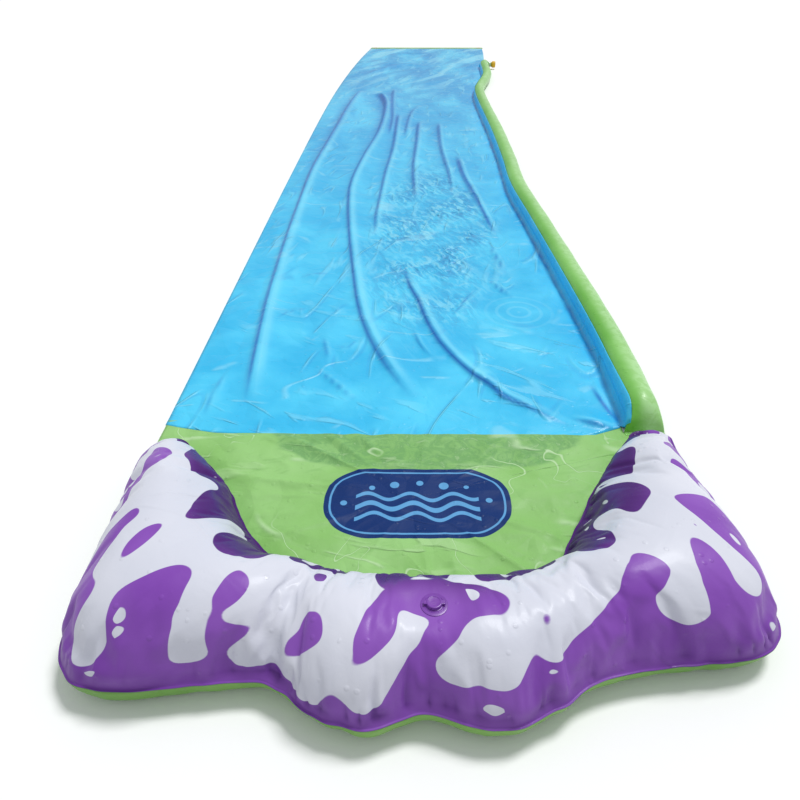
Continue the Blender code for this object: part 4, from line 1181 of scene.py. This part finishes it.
def blowUp(piece, held):  # the weld is held while the film between is blown up with a little film to spare
    group = piece.vertex_groups.new(name="weld")
    group.add(held, 1.0, "REPLACE")
    scene = bpy.context.scene
    before = cornersOf(piece)
    cloth = piece.modifiers.new("air", "CLOTH")
    for name, value in filmCloth.items():
        setattr(cloth.settings, name, value)
    cloth.settings.effector_weights.gravity = 0.0
    cloth.collision_settings.use_collision = False
    cloth.point_cache.frame_end = bumper["simFrames"]
    for frameNumber in range(1, bumper["simFrames"] + 1):
        scene.frame_set(frameNumber)
    applyModifiers(piece)
    scene.frame_set(1)
    piece.vertex_groups.clear()
    move = cornersOf(piece) - before
    size = np.linalg.norm(move, axis=1, keepdims=True)
    cap = bumper["simCap"]
    return before, before + move / np.maximum(size, 1e-9) * cap * np.tanh(size / cap)


def arcPlaces(points, rows, columns):  # metres along the bumper and metres from the outer weld, on the film itself
    grid = points[: rows * columns].reshape(rows, columns, 3)
    along = stepsAlong(grid[:, columns // 2])
    steps = np.linalg.norm(np.diff(grid, axis=1), axis=2)
    across = np.concatenate([np.zeros((rows, 1)), np.cumsum(steps, axis=1)], axis=1)
    return along[:, None] + 0 * across, across, across[:, -1:] + 0 * across


def softLeast(a, b, size):
    share = np.clip(0.5 + 0.5 * (b - a) / size, 0.0, 1.0)
    return b * (1 - share) + a * share - size * share * (1 - share)


splash = {
    "seed": 11,
    "spacing": 0.056,
    "core": (0.52, 0.66),
    "neck": (0.0085, 0.013),
    "head": (0.015, 0.026),
    "outReach": (0.10, 0.38),
    "inReach": (0.74, 0.92),
    "lean": 0.035,
    "melt": 0.022,
    "purpleBand": 0.011,
    "armRibs": ((3.4, 2.0), (17.0, 18.4)),
    "valvePatch": (0.058, 0.024),
    "patchShift": (0.012, 0.006),
}


def tapered(x, y, start, end, startRadius, endRadius):  # distance to a round-ended stroke, below 0 inside
    run = np.array(end) - np.array(start)
    t = np.clip(((x - start[0]) * run[0] + (y - start[1]) * run[1]) / (run @ run), 0.0, 1.0)
    far = np.hypot(x - start[0] - t * run[0], y - start[1] - t * run[1])
    return far - (startRadius + (endRadius - startRadius) * t)


def splashField(x, across, width):  # above 0 in the white: a band along the crest with tongues to both sides
    rng = np.random.default_rng(splash["seed"])
    typical = float(np.median(width[width > 0.1]))
    y = across / np.maximum(width, 1e-6) * typical
    core = np.array(splash["core"]) * typical
    wave = 0.016 * np.sin(x * 2 * np.pi / 0.27) + 0.010 * np.sin(x * 2 * np.pi / 0.131 + 1.0)
    field = np.maximum(core[0] + wave - y, y - core[1] + 0.5 * wave)
    for k, place in enumerate(np.arange(0.03, x.max() - 0.01, splash["spacing"])):
        lean = splash["lean"] * np.sin(place * 2 * np.pi / 1.1 + 0.6)
        root = (place + rng.uniform(-0.016, 0.016), core[0] + 0.01)
        neck, head = rng.uniform(*splash["neck"]), rng.uniform(*splash["head"])
        reach = rng.uniform(*splash["outReach"]) * typical
        elbow = (root[0] + lean * 0.4 + rng.uniform(-0.014, 0.014), (core[0] + reach) / 2)
        tip = (elbow[0] + lean + rng.uniform(-0.018, 0.018), reach)
        lower = tapered(x, y, elbow, tip, neck, head * 0.8)
        tongue = softLeast(tapered(x, y, root, elbow, head, neck), lower, 0.008)
        field = softLeast(field, tongue, splash["melt"])
        if k % 2:
            root = (place + rng.uniform(-0.012, 0.012), core[1] - 0.01)
            tip = (root[0] - lean * 0.8 + rng.uniform(-0.014, 0.014), rng.uniform(*splash["inReach"]) * typical)
            field = softLeast(field, tapered(x, y, root, tip, neck * 1.3, head * 0.7), splash["melt"])
    print("white share of the print:", round(float((field < 0).mean()), 3))
    return -field


def printField(co, s, e, rib, across, width):  # the splash, kept off the outer weld and the patch round the valve
    share = across / width
    (a, b), (c, d) = splash["armRibs"]
    arms = smooth(a, b, rib) + smooth(c, d, rib)
    wander = 1 + 0.5 * softNoise(s, 0 * s, *bumper["noise"]["band"])
    band = e - splash["purpleBand"] * wander + 0.04 * arms * (share < 0.5)
    (halfX, halfY), (shiftX, shiftY) = splash["valvePatch"], splash["patchShift"]
    dx, dy = co[:, 0] - valve["centre"][0] - shiftX, co[:, 1] - valve["centre"][1] - shiftY
    patch = (np.hypot(dx / halfX, (dy + 0.12 * dx) / halfY) - 1) * halfY
    return softLeast(softLeast(splashField(s, across, width), patch, 0.012), band, 0.006)


def weldPleats(s, e):  # short pleats at the welds and longer ones between them, and how strongly they show
    noise = bumper["noise"]
    short = (1 - np.abs(softNoise(s, e * 0.2, *noise["pleats"]))) ** 3
    near = np.exp(-((e / 0.024) ** 2)) * smooth(0.0, 0.003, e)
    long = (1 - np.abs(softNoise(s, e * 0.12, *noise["longPleats"]))) ** 4
    long = long * np.exp(-((e / 0.055) ** 2)) * smooth(0.0, 0.006, e)
    lull = 0.25 + 0.75 * smooth(-0.4, 0.5, softNoise(s, 0 * s, *noise["lull"]))
    return short * near + 0.9 * long, lull


def storePlaces(piece, points, rows, columns):  # where each point lies on the film, for the print and the pleats
    along, across, width = arcPlaces(points, rows, columns)
    rib = (np.arange(rows) - bumper["tipRows"])[:, None] / bumper["ribSteps"] + 0 * across
    fields = {  # each with its values at the two tips
        "along": (along, (0.0, along.max())),
        "across": (across, (0.0, 0.0)),
        "acrossWidth": (width, (0.1, 0.1)),
        "fromWeld": (np.minimum(across, width - across), (0.0, 0.0)),
        "rib": (rib, (rib.min(), rib.max())),
    }
    grid = np.arange(rows * columns).reshape(rows, columns)
    ring = [rows * columns, *grid[:, 0], rows * columns + 1, *grid[::-1, -1]]
    for name, (values, atTips) in fields.items():
        values = np.concatenate([values.ravel(), atTips])
        onLip = np.full(len(ring), bumper["lipPlace"]) if name == "fromWeld" else values[ring]
        store(piece, name, np.concatenate([values, onLip, onLip]))
    makeFiner(piece)
    pace = np.gradient(along[:, 0]) * bumper["ribSteps"]
    return [readBack(piece, name) for name in fields], (rib[:, 0], pace)


def makeBumperTop(material):
    lipZ = bumper["seam"] + bumper["seamGap"] / 2 + bumper["film"]
    even = np.linspace(0.0, 1.0, bumper["across"])
    u = 0.65 * even + 0.175 * (1 - np.cos(even * np.pi))  # closer at the welds
    piece, rows, columns = skinPiece("bumperTop", lipZ, u, crestSurface)
    before = after = cornersOf(piece)
    grid = np.arange(rows * columns).reshape(rows, columns)
    lips = np.arange(rows * columns, len(before))
    before, after = blowUp(piece, np.concatenate([grid[:, 0], grid[:, -1], lips]).tolist())
    centre = np.array(valve["centre"])
    far = np.hypot(before[:, 0] - centre[0], before[:, 1] - centre[1])
    free = smooth(valve["flat"], valve["blend"], far)[:, None]
    after = before * (1 - free) + after * free
    moveCorners(piece, after)
    (s, across, width, e, rib), perRib = storePlaces(piece, after, rows, columns)
    co = cornersOf(piece)
    normals = np.array([v.normal for v in piece.data.vertices])
    fromValve = np.hypot(co[:, 0] - centre[0], co[:, 1] - centre[1])
    onSkin = (e > 0.0002) * smooth(valve["flat"], valve["blend"], fromValve)
    pleats, lull = weldPleats(s, e)
    push = -bumper["puckerDepth"] * pleats * lull * onSkin
    push = push + bumper["swell"] * softNoise(s, e * 0.8, *bumper["noise"]["swell"]) * onSkin
    share = across / width
    for place, lean, depth, wide, reach in bumper["creases"]:
        offLine = (rib - place - lean * share) * np.interp(rib, *perRib)
        fade = smooth(0.0, 0.03, share) * smooth(reach, reach * 0.5, share)
        push = push - depth * np.exp(-np.abs(offLine / wide) ** 1.3) * fade * onSkin
    co = co + normals * push[:, None]
    sunk = smooth(valve["blend"], valve["flat"], fromValve) * (e > 0)
    co[:, 2] = co[:, 2] * (1 - sunk) + centre[2] * sunk
    moveCorners(piece, co)
    store(piece, "splash", printField(co, s, e, rib, across, width))
    # painted shade in the pleats, for the print's colour
    store(piece, "pleat", np.clip(pleats, 0.0, 1.0) * lull * onSkin)
    store(piece, "room", smooth(0.010, 0.018, e) * smooth(0.028, 0.036, fromValve))
    # painted shade for the purple: near the welds and on the inner side that faces the pool
    store(piece, "deep", np.minimum(smooth(0.014, 0.0, e) * 0.30 + smooth(0.50, 0.74, share) * 0.95, 1.0))
    for name in ("acrossWidth", "fromWeld", "rib"):
        piece.data.attributes.remove(piece.data.attributes[name])
    cutValveHole(piece)
    thicken(piece, bumper["film"])
    dress(piece, material, "print_purple", "mat", "bumper_top_skin")
    print("bumper's printed skin made")
    return piece


def cutValveHole(piece):  # its edge is under the valve's collar
    bm = bmesh.new()
    bm.from_mesh(piece.data)
    centre = Vector(valve["centre"])
    gone = [f for f in bm.faces if (f.calc_center_median() - centre).to_2d().length < valve["hole"]
            and f.calc_center_median().z > bumper["seam"] + 0.01]
    bmesh.ops.delete(bm, geom=gone, context="FACES")
    bm.to_mesh(piece.data)
    bm.free()


def makeBumperBase(material):
    lipZ = bumper["seam"] - bumper["seamGap"] / 2 - bumper["film"]
    edge = np.linspace(0.0, 0.24, 11)
    u = np.array([*edge, 0.42, 0.58, *(1 - edge[::-1])])
    piece = skinPiece("bumperBase", lipZ, u, baseSurface)[0]
    piece.data.flip_normals()
    co = cornersOf(piece)
    free = smooth(0.0295, 0.024, co[:, 2]) * smooth(0.001, 0.006, co[:, 2])
    co[:, :2] += (0.0012 * softNoise(co[:, 0], co[:, 1], *bumper["noise"]["base"]) * free)[:, None]
    moveCorners(piece, co)
    makeFiner(piece)
    thicken(piece, bumper["film"])
    dress(piece, material, "film_green", "mat", "bumper_base_skin")
    print("bumper's green skin made")
    return piece


# Splash pad: film between the bumper's arms, with a plain badge printed on it

pad = {
    "film": 0.0004,
    "lapped": 0.027,
    "rings": 84,
    "spokes": 330,
    "centre": (0.02, -2.13),
    "offFloor": 0.00045,
    "middleZ": 0.0011,
    "ripple": 0.0046,
    "fineRipple": 0.0020,
    "swell": 0.0010,
    "smallSwell": 0.0005,
    "noise": {
        "ripple": (0.062, 71), "fineRipple": (0.024, 72), "swell": (0.05, 73), "smallSwell": (0.018, 74),
        "puddle": (0.03, 75),
    },
    "underTube": (0.374, 0.004),
    "flat": (0.697, 0.40),
    "area": 0.205,
    "puddle": (0.040, -1.998, 0.222, 0.078),
    "badgeCentre": (0.025, -2.138),
    "badgeHalf": (0.122, 0.064),
    "badgeRound": 0.92,
    "badgeLine": (0.008, 0.0014),
    "badgeWave": (0.056, 0.0062, 0.66),
    "badgeWaves": ((-0.026, 0.0, 0.0026), (-0.008, 0.5, 0.0034), (0.010, 1.0, 0.0026)),
    "badgeDrops": (
        (-0.030, 0.032, 0.0062), (0.004, 0.036, 0.0048), (0.036, 0.031, 0.0066), (-0.060, 0.026, 0.004),
        (0.094, 0.002, 0.0045), (-0.096, -0.003, 0.0045), (0.066, 0.028, 0.0036),
    ),
}


def padOutline():
    leftTip, rightTip, outer, inner, _ = bumperRows()
    topY = plan["nearY"] + pad["lapped"]
    left = [[leftX(topY) + 0.0015, topY], [leftX(plan["nearY"]), leftTip[1]]]
    rightEdge = tubeX(plan["nearY"]) - tube["radius"] * tube["endSpread"] - 0.0003
    underX, before = pad["underTube"]
    nearEnd = tube["start"] - before
    right = [[underX, rightTip[1]], [underX, nearEnd], [rightEdge, nearEnd], [rightEdge, topY]]
    return np.array([*left, *((outer + inner) / 2), *right, left[0]])


def makePad(material):
    noise = pad["noise"]
    ring = padOutline()
    centre = np.array(pad["centre"])
    run = stepsAlong(ring)
    turns = np.unwrap(np.arctan2(ring[:, 1] - centre[1], ring[:, 0] - centre[0]))
    onward = turns[-1] > turns[0]
    places = np.linspace(0.0, run[-1], pad["spokes"], endpoint=False)
    for corner in run[[0, 1, *range(len(ring) - 5, len(ring) - 1)]]:
        places[np.argmin(np.abs(places - corner))] = corner
    edge = np.stack([np.interp(places, run, side) for side in ring.T], -1)
    share = np.linspace(0.0, 1.0, pad["rings"] + 1)[1:]
    x, y = (c + (side - c)[None, :] * share[:, None] for c, side in zip(centre, edge.T))
    inner = bumperRows()[3]
    gapToBumper = np.full(x.shape, 1e9)
    for p in inner[::3]:
        gapToBumper = np.minimum(gapToBumper, np.hypot(x - p[0], y - p[1]))
    inside = insidePolygon(x, y, np.vstack([inner, [[0.30, -1.90], [-0.30, -1.90]]]))
    free = inside * smooth(0.004, 0.035, gapToBumper) * smooth(plan["nearY"] - 0.002, plan["nearY"] - 0.022, y)
    angle = np.arctan2(y - centre[1], x - centre[0])
    reach = np.hypot(x - centre[0], y - centre[1])
    radial = (1 - np.abs(softNoise(angle * 0.28, reach * 0.35, *noise["ripple"]))) ** 2.2
    fine = (1 - np.abs(softNoise(angle * 0.28, reach * 0.6, *noise["fineRipple"]))) ** 2
    rise = pad["ripple"] * radial * smooth(0.04, 0.16, reach) + pad["fineRipple"] * fine * smooth(0.10, 0.2, reach)
    for name in ("swell", "smallSwell"):
        rise = rise + pad[name] * (1 + softNoise(x, y, *noise[name]))
    z = pad["offFloor"] + rise * free
    points = np.concatenate([[[*centre, pad["middleZ"]]], np.stack([x, y, z], -1).reshape(-1, 3)])
    rows, columns = x.shape
    faces = [[a + 1 for a in f] for f in gridFaces(rows, columns, around=True, turned=onward)]
    first = list(range(1, columns + 1))
    fan = [[0, a, b] for a, b in zip(first, first[1:] + first[:1])]
    faces += fan if onward else [f[::-1] for f in fan]
    piece = meshPiece("splashPad", points, faces)
    px, py = points[:, 0], points[:, 1]
    middleX, middleY, halfX, halfY = pad["puddle"]
    puddle = np.hypot(np.abs((px - middleX) / halfX) ** 1.5, (py - middleY) / halfY)
    puddle = puddle + 0.10 * softNoise(px, py, *noise["puddle"])
    store(piece, "soaked", smooth(1.04, 0.96, puddle))
    thicken(piece, pad["film"], 1.0)
    dress(piece, material, "film_green", "mat", "splash_pad")
    print("splash pad made")
    return piece


def insidePolygon(x, y, ring):
    found = np.zeros(x.shape, bool)
    for (ax, ay), (bx, by) in zip(ring, np.roll(ring, -1, 0)):
        crosses = (ay > y) != (by > y)
        at = ax + (y - ay) * (bx - ax) / np.where(by == ay, 1e-12, by - ay)
        found ^= crosses & (x < at)
    return found.astype(float)


# Finishes for the small parts


def plastic(name, colour, shade, rough=0.34, grain=420.0, depth=0.00006):
    finish = Finish(name)
    clouds = finish.cloudy(30.0, 3.0, 0.6)
    grit = finish.cloudy(grain, 3.0, 0.6)
    scuffs = finish.trickles(60.0, 0.006, 1.0)
    finish.give(
        BaseColor=finish.blend(clouds.between(0.35, 0.7), linear(*colour), linear(*shade)),
        Roughness=rough + grit * 0.12 + scuffs * 0.12,
        Normal=finish.raised(grit + scuffs * 0.4, depth),
    )
    return finish.material


def metal(name, colour, rough=0.28):
    finish = Finish(name)
    brushed = finish.cloudy(260.0, 4.0, 0.7, 0.0, finish.stretched((1.0, 1.0, 0.08)))
    stains = finish.cloudy(60.0, 3.0, 0.6, 0.5)
    dull = tuple(v * 0.72 for v in linear(*colour))
    finish.give(
        BaseColor=finish.blend(stains.between(0.4, 0.7), linear(*colour), dull),
        Metallic=1.0,
        Roughness=rough + brushed * 0.14 + stains * 0.1,
        Normal=finish.raised(brushed, 0.00003),
    )
    return finish.material


# Small parts. Each line of corners, in millimetres (from the axis, along it), is extruded and then spun.

inlet = {
    "steps": 64,
    "neckWall": 0.0006,
    "rimRadii": (17.0, 15.0, 13.0),
    "neckLine": ((11.9, 0.9), (11.0, 2.0), (10.75, 3.4), (10.62, 4.6), (10.6, 7.8), (10.62, 10.9), (11.0, 11.9),
                 (11.25, 13.2), (11.1, 14.6), (10.9, 15.4)),
    "sleeveUnder": 11.5,
    "pinch": (7.8, 3.5),
    "flangeLift": 0.0005,
    "pleats": 0.00035,
    "pleatNoise": (0.42, 81),
    "bandLine": ((10.8, 4.5), (11.6, 4.5), (12.0, 4.8), (12.05, 5.5), (11.8, 6.3), (11.8, 9.2), (12.05, 10.0),
                 (12.0, 10.7), (11.6, 11.0), (10.8, 11.0), (10.8, 4.5)),
    "earMiddle": 0.00775,
    "earFrom": 0.0112,
    "earSpan": 0.0034,
    "earRise": 0.0026,
    "spigotLine": ((6.2, -5.0), (8.6, -5.0), (9.6, 0.0), (9.3, 5.0), (9.6, 10.0), (9.3, 15.8), (12.4, 15.8),
                   (12.9, 16.2), (13.0, 17.0), (12.9, 17.8), (12.4, 18.3), (9.5, 18.3), (9.0, 18.7), (9.0, 23.1),
                   (11.8, 23.1), (11.8, 25.2), (6.2, 25.2), (6.2, -5.0)),
    "nutLine": ((9.4, 0.9), (9.8, 0.0), (14.0, 0.0), (15.2, 0.35), (15.9, 1.1), (16.1, 2.2), (17.2, 3.0),
                (17.2, 9.5), (17.2, 15.4), (16.1, 16.2), (16.3, 16.9), (16.3, 18.0), (15.9, 18.7), (15.2, 19.0),
                (14.1, 19.0), (13.4, 18.4), (13.4, 17.7)),
    "threads": (17.2, 1.95, 4),
    "thread": ((13.4, 0.0), (12.7, 0.42), (12.7, 0.72), (13.4, 1.15)),
    "nutSeat": ((13.4, 9.3), (13.4, 2.6), (9.4, 2.6), (9.4, 0.9)),
    "nutSteps": 96,
    "grips": 12,
    "gripDepth": 0.0012,
    "gripSteps": ((0.30, 0.45), (0.17, 0.55)),
    "gripFrom": 0.0160,
    "gripSpan": (0.0026, 0.0157),
    "gripOuter": 0.0172,
    "washerLine": ((7.4, 0.2), (7.7, 0.0), (12.4, 0.0), (12.75, 0.3), (12.75, 2.2), (12.4, 2.5), (11.4, 2.5),
                   (10.9, 2.1), (9.2, 2.1), (8.7, 2.5), (7.7, 2.5), (7.4, 2.2), (7.4, 0.2)),
}


def spun(name, line, origin, alongX=False, steps=64):
    along, out = (Vector((1, 0, 0)), Vector((0, 0, 1))) if alongX else (Vector((0, 0, 1)), Vector((1, 0, 0)))
    corners = [origin + out * (r / 1000.0) + along * (h / 1000.0) for r, h in line]
    bpy.ops.object.select_all(action="DESELECT")
    bpy.ops.mesh.primitive_plane_add(size=0.001, location=corners[0])
    piece = bpy.context.object
    piece.name = piece.data.name = name
    bpy.ops.object.mode_set(mode="EDIT")
    bpy.ops.mesh.select_mode(type="VERT")
    bpy.ops.mesh.select_all(action="SELECT")
    bpy.ops.mesh.merge(type="CENTER")
    for a, b in zip(corners, corners[1:]):
        bpy.ops.mesh.extrude_region_move(TRANSFORM_OT_translate={"value": b - a})
    bpy.ops.mesh.select_all(action="SELECT")
    bpy.ops.mesh.spin(steps=steps, angle=2 * math.pi, center=origin, axis=along)
    bpy.ops.mesh.select_all(action="SELECT")
    bpy.ops.mesh.remove_doubles(threshold=0.00002)
    bpy.ops.mesh.normals_make_consistent(inside=False)
    bpy.ops.object.mode_set(mode="OBJECT")
    bpy.ops.object.transform_apply(location=True, rotation=True, scale=True)
    return piece


def pick(piece, kind, wanted):  # selects the vertices or faces whose place passes the test, and enters edit mode
    bpy.ops.object.mode_set(mode="OBJECT")
    selectOnly(piece)
    bpy.ops.object.mode_set(mode="EDIT")
    bpy.ops.mesh.select_mode(type="VERT" if kind == "vertices" else "FACE")
    bpy.ops.mesh.select_all(action="DESELECT")
    bpy.ops.object.mode_set(mode="OBJECT")
    for item in getattr(piece.data, kind):
        item.select = bool(wanted(item.co if kind == "vertices" else item.center))
    bpy.ops.object.mode_set(mode="EDIT")


def finishEdges(piece, bevel=0.0, angle=35.0):
    bpy.ops.object.mode_set(mode="OBJECT")
    if bevel:
        edge = piece.modifiers.new("edge", "BEVEL")
        edge.width = bevel
        edge.segments = 2
        edge.limit_method = "ANGLE"
        edge.angle_limit = math.radians(angle)
        applyModifiers(piece)
    selectOnly(piece)
    bpy.ops.object.shade_smooth_by_angle(angle=math.radians(angle))


def makeNeck(material):  # the film sleeve: a welded rim on the tube, then a pleated sleeve that the band pinches
    axis = inletAxis()
    turn = np.linspace(0.0, 2 * np.pi, inlet["steps"], endpoint=False)
    pinched, half = inlet["pinch"]
    rows = []
    for radius, out in (*((r, None) for r in inlet["rimRadii"]), *inlet["neckLine"]):
        r = radius / 1000.0 + 0 * turn
        if radius < inlet["sleeveUnder"] and abs(out - pinched) > half:
            wave = softNoise(turn * 1.6, 0 * turn + radius * 0.02, *inlet["pleatNoise"])
            r = r + wave * inlet["pleats"]
        y, z = axis.y + r * np.cos(turn), axis.z + r * np.sin(turn)
        x = tubeX(y) + np.sqrt(np.maximum(tube["radius"] ** 2 - (z - axis.z) ** 2, 0.0)) + inlet["flangeLift"]
        if out is not None:
            least = x if radius > inlet["sleeveUnder"] else -1.0
            x = np.maximum(axis.x + out / 1000.0 + 0 * turn, least)
        rows.append(np.stack([x, y, z], -1))
    points = np.stack(rows)
    piece = meshPiece("inletNeck", points, gridFaces(*points.shape[:2], around=True, turned=True))
    makeFiner(piece)
    thicken(piece, inlet["neckWall"])
    return dress(piece, material, "film_green", "mat", "inlet_neck")


def makeInlet():
    yellow = plastic("fittingYellow", (246, 196, 36), (234, 180, 26))
    steel = metal("bandSteel", (196, 198, 200))
    rubber = plastic("washerRubber", (34, 34, 36), (46, 46, 48), 0.55, 260.0)
    sleeve = wetFilm("neckFilm")
    origin = inletAxis()
    makeNeck(sleeve)

    band = spun("clampBand", inlet["bandLine"], origin, True)
    middle = (origin.x + inlet["earMiddle"], origin.y, origin.z)

    def atEar(c):
        beside = abs(c.y - origin.y) < inlet["earSpan"] and abs(c.x - middle[0]) < 0.002
        return beside and c.z > origin.z + inlet["earFrom"]

    pick(band, "polygons", atEar)
    for rise, grow in ((0.55, (1, 0.72, 1)), (0.45, (1, 1.25, 0.985))):
        bpy.ops.mesh.extrude_region_move(TRANSFORM_OT_translate={"value": (0, 0, inlet["earRise"] * rise)})
        bpy.ops.transform.resize(value=grow, center_override=middle)
    finishEdges(band, 0.00018)
    dress(band, steel, "plain_steel", "mat", "clamp_band")

    spigot = spun("hoseSpigot", inlet["spigotLine"], origin, True)
    finishEdges(spigot, 0.00015)
    dress(spigot, yellow, "fitting_yellow", "mat", "hose_spigot")

    nutBack = Vector((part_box("swivel_nut")[0].x, origin.y, origin.z))
    first, pitch, count = inlet["threads"]
    threads = [(r, first - k * pitch - d) for k in range(count) for r, d in inlet["thread"]]
    nutLine = (*inlet["nutLine"], *threads, *inlet["nutSeat"])
    nut = spun("swivelNut", nutLine, nutBack, True, inlet["nutSteps"])
    perGrip = 2 * math.pi / inlet["grips"]
    low, high = inlet["gripSpan"]
    for reach, depth in inlet["gripSteps"]:
        def inGroove(c):
            turn = math.atan2(c.y - origin.y, c.z - origin.z) / perGrip
            outside = math.hypot(c.y - origin.y, c.z - origin.z) > inlet["gripFrom"]
            return outside and abs(turn - round(turn)) < reach and low < c.x - nutBack.x < high

        pick(nut, "vertices", inGroove)
        share = 1 - inlet["gripDepth"] * depth / inlet["gripOuter"]
        bpy.ops.transform.resize(value=(1, share, share), center_override=nutBack)
    finishEdges(nut, 0.00022)
    dress(nut, yellow, "fitting_yellow", "hose_nut", "swivel_nut")

    washerBack = Vector((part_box("hose_washer")[0].x, origin.y, origin.z))
    washer = spun("hoseWasher", inlet["washerLine"], washerBack, True)
    finishEdges(washer)
    dress(washer, rubber, "washer_rubber", "hose_nut", "hose_washer")
    print("hose inlet made")


airValve = {
    "collarLine": ((6.2, 0.3), (12.7, 0.3), (13.0, 0.45), (12.9, 0.62), (12.2, 0.78), (10.2, 0.86), (9.9, 1.12),
                   (9.6, 1.16), (9.3, 0.92), (8.6, 0.92), (8.3, 1.4), (7.9, 1.5), (6.5, 1.5), (6.2, 1.3),
                   (6.2, 0.3)),
    "stemLine": ((4.4, -13.7), (6.6, -13.7), (7.0, -13.5), (7.0, -12.9), (6.6, -12.7), (5.8, -12.4), (5.8, -9.0),
                 (5.95, -8.7), (5.8, -8.4), (5.8, -5.0), (5.95, -4.7), (5.8, -4.4), (5.8, 1.8), (7.3, 1.8),
                 (7.6, 2.0), (7.6, 2.7), (7.3, 3.0), (4.6, 3.0), (4.4, 2.8), (4.4, -13.7)),
    "plugLine": ((0.0, -0.9), (3.0, -0.9), (3.4, -0.6), (3.9, 2.6), (3.9, 3.3), (7.1, 3.3), (7.4, 3.5),
                 (7.4, 4.3), (7.0, 4.8), (6.2, 5.0), (5.7, 4.9), (5.4, 4.55), (1.5, 4.62), (0.0, 4.64)),
    "tabFrom": 0.0068,
    "tabRoot": 0.0074,
    "tabFlat": 0.0072,
    "tabHalf": 0.0021,
    "strapEnd": 0.0100,
    "liftEnd": 0.0102,
    "hinge": (0.0100, 0.00315),
    "knuckle": 0.00075,
}


def drawTab(piece, centre, low, high, side, reach):  # pulls the rim's faces on one side out into a flat tab
    def onRim(c):
        out = (c.x - centre.x) * side > airValve["tabFrom"]
        return out and abs(c.y - centre.y) < airValve["tabHalf"] and low < c.z - centre.z < high

    pick(piece, "polygons", onRim)
    out = side * (reach - airValve["tabRoot"])
    flatX = centre.x + side * (airValve["tabFlat"] + abs(out) * 0.5)
    bpy.ops.mesh.extrude_region_move(TRANSFORM_OT_translate={"value": (out * 0.5, 0, 0)})
    bpy.ops.transform.resize(value=(0.0, 1, 1), center_override=(flatX, centre.y, centre.z))
    bpy.ops.mesh.extrude_region_move(TRANSFORM_OT_translate={"value": (out * 0.5, 0, 0)})


def addKnuckle(piece, centre):  # a bead along the hinge line, where the strap bends
    out, up = airValve["hinge"]
    place = (centre.x + out, centre.y, centre.z + up)
    size = {"radius": airValve["knuckle"], "depth": 2 * airValve["tabHalf"]}
    bpy.ops.object.select_all(action="DESELECT")
    bpy.ops.mesh.primitive_cylinder_add(vertices=24, location=place, rotation=(math.pi / 2, 0, 0), **size)
    combine(piece, bpy.context.object, "UNION")


def makeValve():
    vinyl = plastic("valveVinyl", (132, 72, 176), (116, 56, 160), 0.24, 300.0)
    centre = Vector(valve["centre"])
    collar = spun("valveCollar", airValve["collarLine"], centre)
    finishEdges(collar)
    dress(collar, vinyl, "valve_vinyl", "mat", "valve_collar")
    stem = spun("valveStem", airValve["stemLine"], centre)
    drawTab(stem, centre, 0.0020, 0.0028, 1.0, airValve["strapEnd"] - 0.0005)
    finishEdges(stem, 0.00012)
    dress(stem, vinyl, "valve_vinyl", "air_valve", "valve_stem")
    plug = spun("valvePlug", airValve["plugLine"], centre)
    drawTab(plug, centre, 0.0034, 0.0044, 1.0, airValve["strapEnd"])
    drawTab(plug, centre, 0.0034, 0.0044, -1.0, airValve["liftEnd"])
    finishEdges(plug, 0.00012)
    addKnuckle(plug, centre)
    finishEdges(plug)
    dress(plug, vinyl, "valve_vinyl", "air_plug", "valve_plug")
    print("air valve made")


eyelet = {
    "line": ((7.0, 0.25), (7.3, 0.0), (11.4, 0.0), (11.6, 0.2), (11.4, 0.4), (7.9, 0.5), (7.8, 1.2),
             (13.1, 1.22), (13.5, 1.35), (13.35, 1.6), (12.5, 1.95), (10.8, 2.3), (9.2, 2.4), (8.0, 2.25),
             (7.3, 1.85), (7.0, 1.3), (7.0, 0.25)),
}


def makeEyelets():
    brass = metal("eyeletBrass", (206, 176, 112))
    stoodFor = {"leftEyelet": "left_eyelet", "rightEyelet": "right_eyelet"}
    for name, (x, y) in eyeletPlaces().items():
        ring = spun(name, eyelet["line"], Vector((x, y, 0.0)))
        finishEdges(ring)
        dress(ring, brass, "eyelet_brass", "mat", stoodFor[name])
    print("eyelets made")


def finishInnerParts():
    vinyl = plastic("flapVinyl", (128, 66, 170), (112, 52, 154), 0.22, 300.0)
    steel = metal("screenSteel", (196, 198, 200))
    for name, material in {"filter_screen": steel, "check_flap": vinyl}.items():
        nodes[name].material_slots[0].material = material
    print("inner parts finished")


laneMaterial = wetFilm("laneBlue", laneColour)
tubeMaterial = wetFilm("tubeGreen", tubeColour)
padMaterial = wetFilm("padGreen", padColour)
baseMaterial = wetFilm("baseGreen")
printMaterial = wetFilm("printPurple", printColour)
hemMaterial = wetFilm("hemGreen")

makeTube(tubeMaterial)
headHem = makeHem(hemMaterial)
laneFilm = makeLane(laneMaterial)
makeBumperBase(baseMaterial)
makeBumperTop(printMaterial)
splashPad = makePad(padMaterial)
makeInlet()
makeValve()
makeEyelets()
finishInnerParts()
